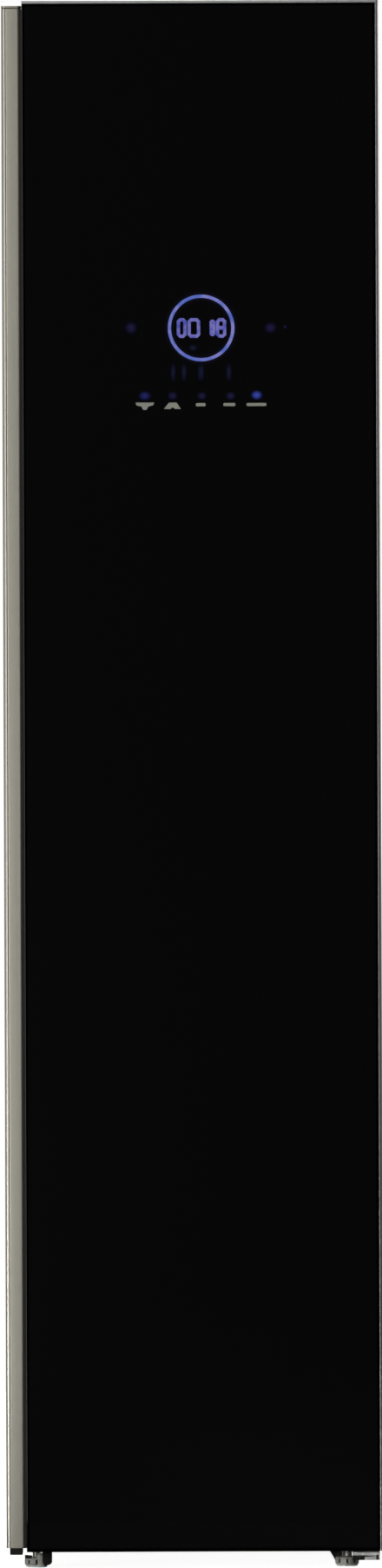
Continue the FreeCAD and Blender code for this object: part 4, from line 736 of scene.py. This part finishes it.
def door_rail():
    """The grip rail: a hollow-fronted extrusion with a shadow line and a ribbed finger groove."""
    low, high = box_of("grip_rail")
    left, front, right, back, top = low[0], low[1], high[0], high[1], high[2]
    groove_x, groove_front, groove_back = left + 15, front + 11, back - 12
    crease, crease_half, crease_depth = left + 5.4, 0.8, 0.4
    outer_round, glass_round = 4, 5

    def section(inset):
        """The rail's outer outline, drawn in by inset."""
        return eased([
            (left + inset, front + inset, outer_round + inset),
            (right - inset, front + inset, (outer_round if inset else glass_round) + inset),
            (right - inset, back - inset, 1 + inset),
            (left + inset, back - inset, outer_round + inset),
        ])

    corners = [
        (left, front, outer_round), (crease - crease_half, front, 0),
        (crease, front + crease_depth, 0), (crease + crease_half, front, 0),
        (right, front, glass_round), (right, back, 1), (left, back, outer_round),
        (left, groove_back, 2.5), (groove_x, groove_back, 4),
        (groove_x, groove_front, 4), (left, groove_front, 2.5),
    ]
    foot = low[2] - 1.7
    rail = Shape().prism(eased(corners), (foot, top - 0.6), edge=0.3, steps=1)
    piece("door_rail", rail, "rail_aluminium", "grip_rail", replaces=True)

    count, pitch = 6, 3.6
    first = (groove_front + groove_back) / 2 - pitch * (count - 1) / 2
    rib = Shape().box(
        (groove_x - 0.5, groove_x + 0.2), (-0.6, 0.6), (low[2] + 1, top - 1), 0.2, 1
    )
    in_row("finger_ribs", rib, "rail_aluminium", "grip_rail", count, (0, first, 0), (0, pitch, 0))

    bead = Shape().box(
        (right - 2.4, right + 0.05), (front + 1.5, front + 7), (low[2], top - 1), 0.8, 3
    )
    piece("glass_edge_bead", bead, "seal_rubber", "grip_rail")
    seam = Shape().prism(section(0.6), (top - 1.4, top + 0.4))
    piece("rail_seam", seam, "black_plastic", "grip_rail")

    lid = Shape().prism(section(0), (top, top + 2.8), edge=0.7, steps=3)
    piece("rail_top_cap", lid, "rail_aluminium", "rail_end_caps", replaces=True)
    cap_foot = box_of("rail_end_caps")[0][2] - 1.8
    outline = rounded((left + 4, right - 5), (front + 4, back - 4), 1.4, 4)
    plug = Shape().prism(outline, (cap_foot, foot + 0.4), edge=0.8, steps=3)
    piece("rail_foot_cap", plug, "black_plastic", "rail_end_caps", replaces=True)


def door_trims():
    """The trims over the glass and on its hinge side, which clears the upper hinge."""
    softened(0.7, 3, "top_trim")
    low, high = box_of("side_trim")
    tray_top, depth = box_of("door_tray")[1][2], box_of("top_trim")[1][1]
    strip = Shape()
    for back, ends in ((high[1], (low[2], tray_top)), (depth, (tray_top - 0.2, high[2]))):
        corners = [
            (low[0], low[1], 0.3), (high[0], low[1], 3.4),
            (high[0], back, 0.5), (low[0], back, 0.3),
        ]
        strip.prism(eased(corners, 9), ends, edge=0.25, steps=1)
    piece("side_trim_strip", strip, "trim_aluminium", "side_trim", replaces=True)


def door_shell():
    """The painted tray behind the glass, its foam, hinge bushes and display board."""
    softened(0.5, 1, "door_tray")
    softened(0, 2, "door_insulation")
    softened(0.3, 1, "hinge_bushes")
    softened(0.8, 2, "display_board")


def mark_depth(sunk):
    """How deep a display mark sits in the glass, and the hair that it stands proud of it."""
    front = box_of("door_glass")[0][1]
    return front - sunk, front + 0.04


def display_lights():
    """The timer ring and its four figures, each a thin lit loop."""
    depth, centre, half = mark_depth(0.12), (RING_X, RING_Z), 1.9
    ring = Shape().frame(
        circle(centre, RING_R + half, 96), circle(centre, RING_R - half, 96), depth, "Y"
    )
    piece("timer_ring", ring, "ring_light", "door_glass")
    figures = Shape()
    stroke, tall, cut = 3.9, 11.6, 3.4
    low, high = RING_Z - tall, RING_Z + tall
    for x in ((-16.6, -4.9), (-3.9, 11.1), (29.6, 41.8)):
        inner = (x[0] + stroke, x[1] - stroke), (low + stroke, high - stroke)
        figures.frame(octagon(x, (low, high), cut), octagon(*inner, 0.9), depth, "Y")
    figures.prism(octagon((22.2, 29.0), (low + 2, high - 2), 2.0), depth, "Y")
    figures.box((32.6, 38.8), depth, (RING_Z - 2.2, RING_Z + 2.2))
    piece("timer_figures", figures, "digit_light", "door_glass")


def printed_marks():
    """The plain printed marks under the touch keys."""
    cup = [
        (-65.4, 1376.2), (-43.6, 1376.2), (-44.6, 1373), (-50.5, 1371.4), (-52.6, 1367.6),
        (-56.4, 1367.6), (-58.5, 1371.4), (-64.4, 1373),
    ]
    hood = [
        (-26, 1376), (-17, 1376), (-12.2, 1368.6), (-19, 1368.6), (-21.6, 1370.8),
        (-24.4, 1368.6), (-32, 1368.6),
    ]
    bars = [
        rounded(ends, (1371.6, 1375.4), 1.2, 3)
        for ends in ((5.6, 17.2), (38.0, 52.2), (65.4, 88.8))
    ]
    marks = Shape()
    for outline in (cup, hood, *bars):
        marks.prism(outline, mark_depth(0.08), "Y")
    piece("key_marks", marks, "print_ink", "door_glass")


def fading_marks(name, finish, spots):
    """Dim lights behind the glass; each spot is (x, z, half width, half height)."""
    front, proud, swell, fall = box_of("door_glass")[0][1], 0.02, 0.05, 1.3
    steps = 12
    there, back = range(steps), range(steps, 0, -1)
    mesh = bmesh.new()
    fade = mesh.verts.layers.float.new("fade")
    for x, z, wide, tall in spots:
        grid = {}
        for i in range(steps + 1):
            for j in range(steps + 1):
                u, v = 2 * i / steps - 1, 2 * j / steps - 1
                level = (1 - u * u) * (1 - v * v) if tall > 2 * wide else max(0, 1 - u * u - v * v)
                point = metres(x + u * wide, front - proud - swell * level, z + v * tall)
                grid[i, j] = mesh.verts.new(point)
                grid[i, j][fade] = level ** fall
        for i in there:
            for j in there:
                mesh.faces.new((grid[i, j], grid[i + 1, j], grid[i + 1, j + 1], grid[i, j + 1]))
        rim = [grid[i, 0] for i in there] + [grid[steps, j] for j in there]
        rim += [grid[i, steps] for i in back] + [grid[0, j] for j in back]
        mesh.faces.new(reversed(rim))
    flat = bpy.data.meshes.new(name)
    mesh.to_mesh(flat)
    mesh.free()
    flat.materials.append(FINISHES[finish].material)
    fitted(shown(name, flat), "door_glass")


def dim_lights():
    """The dim spots round the timer ring and over the touch keys."""
    fading_marks("touch_glow", "dim_violet", [
        (-70.5, 1464.2, 9.5, 9.5), (93.9, 1463.9, 9.5, 8.5), (111.2, 1464.9, 3, 3),
        (-21.7, 1384.1, 8, 6.5), (12.8, 1383.9, 7.5, 6.5), (46.6, 1383.8, 7.5, 6.5),
    ])
    fading_marks("column_glow", "dim_blue", [
        (-21.0, 1411.5, 4.2, 14.5), (-8.3, 1411.5, 4.6, 14.5), (11.8, 1411.5, 5.6, 14.5),
        (44.7, 1411.5, 4.4, 14.5), (2.6, 1440.5, 7.4, 5.4),
    ])
    fading_marks("key_glow", "bright_blue", [(77.4, 1384.6, 8, 6.6)])
    fading_marks("first_key_glow", "key_blue", [(-54.6, 1384.2, 9, 6.8)])


glass_pane()
door_rail()
door_trims()
door_shell()
display_lights()
printed_marks()
dim_lights()


# ---- Door inside ----


def gasket_bellows():
    """The door seal: a hollow-looking bellows with a magnet bead, mitred round the door."""
    low, high = box_of("door_gasket")
    back, face = high[1], low[1]
    profile = [
        (0.6, face), (9.4, face), (9.4, face + 1.2), (8.2, face + 1.8), (9.6, face + 3.0),
        (8.4, face + 4.2), (9.6, back - 1.6), (9.0, back - 0.3), (1.0, back - 0.3),
        (0.4, back - 1.6), (1.6, face + 4.2), (0.4, face + 3.0), (1.8, face + 1.8),
        (0.6, face + 1.2),
    ]
    part = bmesh.new()
    loops = []
    for inset, along in profile:
        corners = (
            (low[0] + inset, low[2] + inset), (high[0] - inset, low[2] + inset),
            (high[0] - inset, high[2] - inset), (low[0] + inset, high[2] - inset),
        )
        loops.append([part.verts.new((x, along, z)) for x, z in corners])
    wrap(part, loops + loops[:1])
    piece("seal_bellows", Shape().keep(part), "seal_rubber", "door_gasket", replaces=True)


def door_inner():
    """The door's inner panel with three pressed borders."""
    softened(1.4, 3, "door_liner")
    plane, half, border = box_of("door_liner")[1][1], 150, 4
    for number, z in enumerate(((150, 640), (680, 1180), (1220, 1690)), 1):
        ends = (plane - 0.4, plane + 1.4)
        bead = Shape().border((-half, half), z, (18, 14), border, ends, 0.6)
        piece(f"door_panel_bead_{number}", bead, "liner_plastic", "door_liner")


gasket_bellows()
door_inner()


# ---- Case ----


def cabinet_case():
    softened(0.8, 3, "left_side_panel", "right_side_panel", "top_panel")
    softened(1.0, 3, "front_frame")
    softened(1.6, 3, "hinge_cover")
    softened(0.6, 3, "upper_hinge_bracket", "lower_hinge_bracket")
    softened(0, 2, "back_panel", "base_frame", "insulation")


def top_beads():
    """Shallow pressed beads that stiffen the lid."""
    top, half, broad, first, pitch = box_of("top_panel")[1][2], 120, 7, -70, 95
    outline = rounded((-half, half), (-broad, broad), broad - 0.1, 8)
    bead = Shape().prism(outline, (top - 0.3, top + 1.4), "Z", 1.1, 3)
    in_row("lid_beads", bead, "case_paint", "top_panel", 3, (0, first, 0), (0, pitch, 0))


def screw_head(radius, proud):
    """A pan head with a round recess, standing on z = 0 and facing up."""
    profile = [
        (radius, 0), (radius, proud * 0.35), (radius * 0.86, proud * 0.8),
        (radius * 0.55, proud), (radius * 0.5, proud * 0.98), (0, proud * 0.98),
    ]
    return Shape().turned(profile, (0, 0), 20)


def cross_recess_shade(radius, proud):
    """A dark cross on a screw head, painted shade standing in for its cross recess."""
    arm, half = radius * 0.52, radius * 0.13
    cross = Shape().box((-arm, arm), (-half, half), (proud * 0.9, proud + 0.04))
    return cross.box((-half, half), (-arm, arm), (proud * 0.9, proud + 0.05))


def case_screws():
    """Pan heads on the lid and up both edges of the back, each left at its own angle."""
    radius, proud = 4.0, 1.8
    low, high = box_of("cabinet_screws")
    edges = (low[0] + radius, high[0] - radius)
    lid, back = high[2] - proud, high[1] - proud
    lid_rows, lowest, highest, gaps = (-138.5, 273.5), 66, 1825.8, 6
    levels = [lowest + step * (highest - lowest) / gaps for step in range(gaps + 1)]
    rows = (
        ("lid", [(x, y, lid) for x in edges for y in lid_rows], 0, (0, 0, 1)),
        ("back", [(x, back, z) for x in edges for z in levels], -90, (0, 1, 0)),
    )
    # The black crosses are painted shade of the screws' cross recesses.
    parts = (("screws", screw_head, "zinc_screw"), ("crosses", cross_recess_shade, "black_plastic"))
    for name, places, tilt, axis in rows:
        for part, make, finish in parts:
            shape = make(radius, proud).rotated(tilt, (0, 0, 0), "X")
            at_places(
                f"{name}_{part}", shape, finish, "cabinet_screws", places, axis, 3, replaces=True
            )


def back_dressing():
    """Pressed borders on the back panel."""
    plane, half, tall, width = box_of("back_panel")[1][1], 120, 250, 8
    first, pitch = 740, 640
    ends = (plane - 0.3, plane + 1.5)
    bead = Shape().border((-half, half), (-tall, tall), (16, 10), width, ends, 0.6)
    in_row("back_beads", bead, "galvanised_steel", "back_panel", 2, (0, 0, first), (0, 0, pitch))


cabinet_case()
top_beads()
case_screws()
back_dressing()


# ---- Chamber ----


def chamber():
    softened(0.4, 3, "side_liners")
    softened(0.3, 3, "back_liner", "ceiling_liner")
    softened(0.8, 3, "chamber_floor", "shelf")
    softened(1.0, 3, "tank_bay")
    softened(1.6, 3, "chamber_lamp")
    softened(1.0, 3, "lint_filter", "hanger_carriage")
    softened(0, 3, "steam_outlet", "hanger_bar")
    softened(1.2, 3, "supply_tank", "drain_tank")
    softened(0.8, 3, "supply_tank_lid", "drain_tank_lid")


chamber()


# ---- Feet and rollers ----


def levelling_foot(side, resting_turn):
    """A foot: pale sole, grey ribbed pad whose grooves are dark marks of painted shade, dark stop
    on its rim, pale catch and threaded stem.
    """
    name = "front_foot_" + side
    low, high = box_of(name)
    centre = (low[0] + high[0]) / 2, (low[1] + high[1]) / 2
    radius, pad_top, stem, pitch = (high[0] - low[0]) / 2, 11.0, 5.0, 1.5
    sole = [(0, 0), (radius - 2.4, 0), (radius - 1.4, 0.6), (radius - 1.2, 2.4), (0, 2.4)]
    pad = [
        (0, 2.3), (radius - 0.8, 2.3), (radius, 3.1), (radius, pad_top - 1.4),
        (radius - 1.3, pad_top), (stem + 2, pad_top), (stem + 1.2, pad_top - 0.8),
        (0, pad_top - 0.8),
    ]
    thread = [(0, pad_top - 1)]
    for turn in range(int((high[2] - pad_top) / pitch)):
        start = pad_top - 0.8 + turn * pitch
        thread += [(stem - 0.7, start), (stem, start + pitch / 2)]
    thread += [(stem - 0.8, high[2]), (0, high[2])]
    catch = sector(centre, radius, radius - 4, range(-86, -43, 6))
    stop = sector(centre, radius, radius - 5, range(-186, -115, 8))
    foot = Shape()
    foot.turned(sole, centre, 48, skin=1)
    foot.turned(pad, centre, 48)
    foot.turned(thread, centre, 24, skin=2)
    foot.prism(catch, (0.4, 17), edge=0.8, skin=1)
    foot.prism(stop, (pad_top - 0.8, pad_top + 3), edge=0.7, skin=3)
    foot.rotated(resting_turn, (*centre, 0), "Z")
    finishes = ["foot_plastic", "cream_plastic", "zinc_screw", "black_plastic"]
    piece(f"levelling_foot_{side}", foot, finishes, name, replaces=True)
    # Black marks flush with the pad's rim: painted shade of its grooves.
    groove_shade = Shape().box((radius - 1.6, radius + 0.06), (-1.3, 1.3), (3.6, pad_top - 2), 0.3, 1)
    groove_shade.rotated(-90, (0, 0, 0), "Z")
    in_ring(f"foot_notches_{side}", groove_shade, "black_plastic", name, 9, (*centre, 0), (0, 0, 1))


def roller(side):
    """A rear roller: a rounded tyre on a dished hub, with its axle ends."""
    low, high = box_of("rear_rollers")
    radius = (high[2] - low[2]) / 2
    centre = ((low[1] + high[1]) / 2, low[2] + radius)
    half, axle_half = 9.0, 11.4
    x = math.copysign(high[0] - half - 2.5, side)
    dished = [
        (0, half - 1.5), (7.5, half - 1.5), (8.2, half), (radius - 2.6, half),
        (radius - 0.6, half - 1.2), (radius, half - 3.2),
    ]
    tyre = [(r, x - out) for r, out in dished] + [(r, x + out) for r, out in reversed(dished)]
    axle = [(0, x - axle_half), (2.9, x - axle_half), (2.9, x + axle_half), (0, x + axle_half)]
    return Shape().turned(tyre, centre, 48, "X").turned(axle, centre, 20, "X", skin=1)


def running_gear():
    levelling_foot("left", 0)
    levelling_foot("right", 160)
    softened(1.8, 4, "foot_skids")
    finishes = ["black_plastic", "zinc_screw"]
    piece("roller_left", roller(-1), finishes, "rear_rollers", replaces=True)
    piece("roller_right", roller(1), finishes, "rear_rollers")


def lower_hinge_dressing():
    """A dark block in the lower hinge's slot and a dark plug at its end, both painted shadow, with
    two screws below.
    """
    low, high = box_of("lower_hinge_bracket")
    front, nose = low[1], low[2]
    # Black blocks in the slot and at its end: painted shadow standing in for the shade there.
    shadow_block = Shape().box(
        (low[0] - 0.2, low[0] + 14), (front - 0.5, front + 5), (nose, nose + 5.2), 0.5
    )
    shadow_block.box(
        (high[0] - 4.6, high[0] - 1.6), (front - 0.4, front + 2), (nose + 0.5, nose + 6.2), 0.6
    )
    piece("lower_hinge_shim", shadow_block, "black_plastic", "lower_hinge_bracket")
    inset, screw_y = 8, -214
    places = [(x, screw_y, nose) for x in (low[0] + inset, high[0] - inset)]
    head = screw_head(3.2, 1.2).rotated(180, (0, 0, 0), "X")
    at_places(
        "lower_hinge_screws", head, "zinc_screw", "lower_hinge_bracket", places, (0, 0, 1), 7
    )


def upper_hinge_dressing():
    """Screws that hold the upper hinge, and the cover's moulded ribs."""
    low, high = box_of("hinge_cover")
    outline = rounded((low[0] + 4, high[0] - 4), (-1, 1), 0.9, 3)
    rib = Shape().prism(outline, (high[2] - 0.2, high[2] + 0.6), "Z", 0.25, 1)
    start = (0, low[1] + 14, 0)
    in_row("hinge_cover_ribs", rib, "black_plastic", "hinge_cover", 6, start, (0, 7, 0))
    low, high = box_of("upper_hinge_bracket")
    places = [((low[0] + high[0]) / 2, low[1] + 26, high[2])]
    head = screw_head(3.6, 1.5)
    at_places(
        "upper_hinge_screw", head, "zinc_screw", "upper_hinge_bracket", places, (0, 0, 1), 5
    )


def louvre_hoods():
    """Pressed hoods that turn each slot of the back into a downward louvre."""
    plane, half, first, pitch = box_of("back_panel")[1][1], 75, 112.5, 16
    curve = [
        (-0.2, 5.4), (2.2, 4.6), (4.0, 2.6), (4.6, -0.4), (4.6, -2.2),
        (3.9, -2.2), (3.8, 0.2), (3.2, 1.9), (1.8, 3.4), (-0.2, 4.2),
    ]
    cheek = [(-0.2, 5.2), (2.2, 4.4), (4.4, -0.4), (4.4, -2.1), (-0.2, -1.4)]
    hood = Shape()
    for outline, ends in (
        (curve, (-half, half)), (cheek, (-half - 0.5, -half + 0.5)),
        (cheek, (half - 0.5, half + 0.5)),
    ):
        hood.prism([(plane + out, up) for out, up in outline], ends, "X")
    start, step = (0, 0, first), (0, 0, pitch)
    in_row("louvre_hoods", hood, "galvanised_steel", "back_panel", 12, start, step)


def inlet_dressing():
    """The cable gland: a ribbed nut over the inlet's bore."""
    softened(0.4, 2, "power_inlet")
    low, high = box_of("power_inlet")
    centre = (low[0] + high[0]) / 2, 0, (low[2] + high[2]) / 2
    nut, proud, half = 13.6, 14.5, 1.1
    rib = Shape().box((nut, proud), (low[1] + 1, high[1] - 1.5), (-half, half), 0.35, 1)
    in_ring("inlet_ribs", rib, "black_plastic", "power_inlet", 16, centre, (0, 1, 0))
    softened(1.6, 3, "rear_spacers")
    softened(1.5, 2, "control_box")


def machine_room():
    """Smooth surfaces for the parts behind the back and the lower panels."""
    softened(
        0, 2,
        "compressor", "compressor_mounts", "fan_motor", "fan_impeller", "fan_housing", "air_duct",
        "steam_generator", "steam_pipe", "drive_mount", "guide_rods", "crank_pulley",
        "motor_pulley", "drive_motor", "drive_belt", "evaporator", "condenser",
    )


running_gear()
lower_hinge_dressing()
upper_hinge_dressing()
louvre_hoods()
inlet_dressing()
machine_room()


# ---- Chamber linings ----


def flute(wall, out, across, ends):
    """A low half-round rib on a wall that is met along across; out is the side it faces."""
    half, shoulder = 2.5, 1.7
    profile = [(-half, -0.3), (-shoulder, 0.5), (0, 0.9), (shoulder, 0.5), (half, -0.3)]
    points = [(side, wall + rise * out) for side, rise in profile]
    return Shape().prism([point[::-1] if across == "X" else point for point in points], ends)


def lining_flutes():
    """Upright flutes of the side and back linings, which keep wet cloth off the wall."""
    inner, back = box_of("side_liners")[1][0] - 2.0, box_of("back_liner")[0][1]
    lower, upper = (452, 622), (668, box_of("ceiling_liner")[0][2] - 24)
    finish, pitch = "liner_plastic", 42
    for side, wall, out in (("left", -inner, 1), ("right", inner, -1)):
        for level, ends, count, first in (("lower", lower, 8, -78), ("upper", upper, 10, -172)):
            in_row(
                f"{level}_flutes_{side}", flute(wall, out, "X", ends), finish, "side_liners",
                count, (0, first, 0), (0, pitch, 0),
            )
    for level, ends in (("lower", lower), ("upper", upper)):
        in_row(
            f"back_flutes_{level}", flute(back, -1, "Y", ends), finish, "back_liner",
            8, (-147, 0, 0), (pitch, 0, 0),
        )


def lamp_prisms():
    """Fine prisms across the chamber lamp's cover."""
    low, high = box_of("chamber_lamp")
    front, back, root, tip = low[1] + 2, high[1] - 2, low[2] + 0.1, low[2] - 0.5
    outline = [(front, root), (front, tip), (back, tip), (back, root)]
    half, inset, pitch = 0.9, 7, 3.2
    prism = Shape().prism(outline, (-half, half), "X", 0.3, 1)
    start, step = (low[0] + inset, 0, 0), (pitch, 0, 0)
    in_row("lamp_prisms", prism, "lamp_diffuser", "chamber_lamp", 34, start, step)


def air_grille():
    """Louvre bars and rim of the ceiling's air outlet."""
    plane, first, pitch = box_of("ceiling_liner")[0][2], 150, 9
    blade = [(-2, 0.2), (-2, -2.2), (-0.8, -3.0), (2.4, -1.2), (2.4, 0.2)]
    bar = Shape().prism(blade, (-90, 90), "X", 0.3, 1)
    start = (0, first, plane)
    in_row("ceiling_grille", bar, "frame_plastic", "ceiling_liner", 9, start, (0, pitch, 0))
    ends = (plane - 3.4, plane + 0.2)
    rim = Shape().border((-97, 97), (140, 230), (6, 3), 6, ends, 0.8, "Z", steps=4)
    piece("ceiling_grille_rim", rim, "frame_plastic", "ceiling_liner")


def tank_marks(side, tank):
    """Ribs and level lines of a tank's front, and a ridged grip under its handle."""
    low, high = box_of(tank)
    middle, front, top, own = (low[0] + high[0]) / 2, low[1], high[2], SLOT[tank]
    ink, first_line = (front - 0.25, front + 0.1), (0, 0, 150)
    outline = rounded((middle - 78, middle + 78), (-2, 2), 1.9, 3)
    rib = Shape().prism(outline, (front - 1.0, front + 0.3), "Y", 0.5, 1)
    line = Shape().box((middle + 52, middle + 66), ink, (-0.5, 0.5))
    long_line = Shape().box((middle + 44, middle + 66), ink, (-0.8, 0.8))
    ridge = Shape().box((middle - 26, middle + 26), (-0.5, 0.5), (top - 0.2, top + 0.7), 0.3, 1)
    for name, shape, finish, count, start, step in (
        ("tank_ribs", rib, own, 3, (0, 0, 92), (0, 0, 12)),
        ("level_lines", line, "print_ink", 9, first_line, (0, 0, 16)),
        ("long_lines", long_line, "print_ink", 3, first_line, (0, 0, 64)),
        ("grip_ridges", ridge, own, 3, (0, front + 15.8, 0), (0, 2.2, 0)),
    ):
        in_row(f"{side}_{name}", shape, finish, tank, count, start, step)


def filter_gauze():
    """The lint filter's gauze, woven from thin crossing threads behind its window."""
    low, high = box_of("lint_filter")
    middle, pitch, half = (low[1] + high[1]) / 2, 2.05, 0.25
    foot, head, left, right = 349, 427, -137, -43
    upright = Shape().box((-half, half), (middle - half, middle + half), (foot, head))
    level = Shape().box((left, right), (middle - 0.2, middle + 0.2), (-half, half))
    for name, thread, count, start, step in (
        ("filter_warp", upright, 46, (left + 1, 0, 0), (pitch, 0, 0)),
        ("filter_weft", level, 38, (0, 0, foot + 1), (0, 0, pitch)),
    ):
        in_row(name, thread, "filter_cloth", "lint_filter", count, start, step)


lining_flutes()
lamp_prisms()
air_grille()
tank_marks("supply", "supply_tank")
tank_marks("drain", "drain_tank")
filter_gauze()


# ---- Carried-over nodes ----

for name, node in frame["nodes"].items():
    for slot in node.material_slots:
        slot.material = FINISHES[SLOT[name]].material


# ---- Room, light and camera ----


def backdrop():
    """A pale floor that runs out of sight."""
    reach, thick, behind = 2900, 4, 1550
    disc = [(0, -thick), (reach, -thick), (reach, 0), (0, 0)]
    shape = Shape().turned(disc, (0, behind), 96)
    shown("floor", mesh_of(shape, "floor", "floor_paint"))


def studio_world():
    """Near-white to look at, and a soft room that is dark behind the camera to light by."""
    world = bpy.data.worlds.new("studio")
    bpy.context.scene.world = world
    world.use_nodes = True
    room = Graph(world.node_tree)
    room.tree.nodes.clear()
    facing = room.node("TexCoord", output="Generated")
    towards = {0: facing, 1: (-0.2, 0.48, 0.14)}
    lean = room.node("VectorMath", towards, output="Value", operation="DOT_PRODUCT")
    stops = ((0.0, grey(8)), (0.14, grey(20)), (0.5, grey(120)), (1.0, grey(205)))
    lit = room.node("Background", {"Color": room.node("ValToRGB", {0: lean + 0.5}, stops=stops)})
    seen = room.node("Background", {"Color": grey(255)})
    eye = room.node("LightPath", output="Is Camera Ray")
    out = room.tree.nodes.new("ShaderNodeOutputWorld")
    room.feed(out.inputs[0], room.node("MixShader", {0: eye, 1: lit, 2: seen}))


def soft_light(name, place, aim, width, height, power, spread=180):
    """A soft lamp at place, aimed at a point; in metres, watts and degrees of beam."""
    lamp = bpy.data.lights.new(name, "AREA")
    lamp.shape = "RECTANGLE"
    lamp.size, lamp.size_y, lamp.energy = width, height, power
    lamp.spread = math.radians(spread)
    thing = shown(name, lamp)
    thing.location = place
    thing.rotation_euler = (Vector(aim) - Vector(place)).to_track_quat("-Z", "Y").to_euler()


def camera():
    """A long lens far in front, level, and turned a hair about its own axis."""
    lens = bpy.data.cameras.new("camera")
    lens.sensor_width, lens.lens, lens.clip_end = 36, 311.76, 100
    thing = shown("camera", lens)
    roll, aside, distance, height = math.radians(-0.209), -0.0017, 16.2915, 0.9266
    axes = Matrix((
        (math.cos(roll), -math.sin(roll), 0),
        (0, 0, -1),
        (math.sin(roll), math.cos(roll), 0),
    ))
    thing.matrix_world = Matrix.Translation((aside, -distance, height)) @ axes.to_4x4()
    bpy.context.scene.camera = thing


backdrop()
studio_world()
soft_light("key_left", (-2.3, -6.6, 0.85), (0, -0.2, 0.95), 1.8, 4.2, 105)
soft_light("wide_left", (-3.6, -3.4, 1.3), (0, 0, 0.9), 2.0, 2.6, 26)
soft_light("top_front", (-1.3, -3.2, 4.4), (0, -0.2, 1.6), 1.6, 1.0, 52)
soft_light("rim_right", (2.6, 0.6, 2.2), (0.2, -0.25, 1.5), 0.9, 1.6, 24)
soft_light("low_left", (-1.2, -1.4, 0.15), (-0.1, -0.2, 0), 0.3, 0.2, 6)
soft_light("low_right", (-0.5, -1.7, 0.1), (0.19, -0.2, 0), 0.3, 0.15, 0.1, 22)
soft_light("top_back", (0.6, 3.8, 4.2), (0, 0, 1.2), 3.0, 2.0, 110)
camera()
bpy.context.scene.view_settings.view_transform = "Standard"
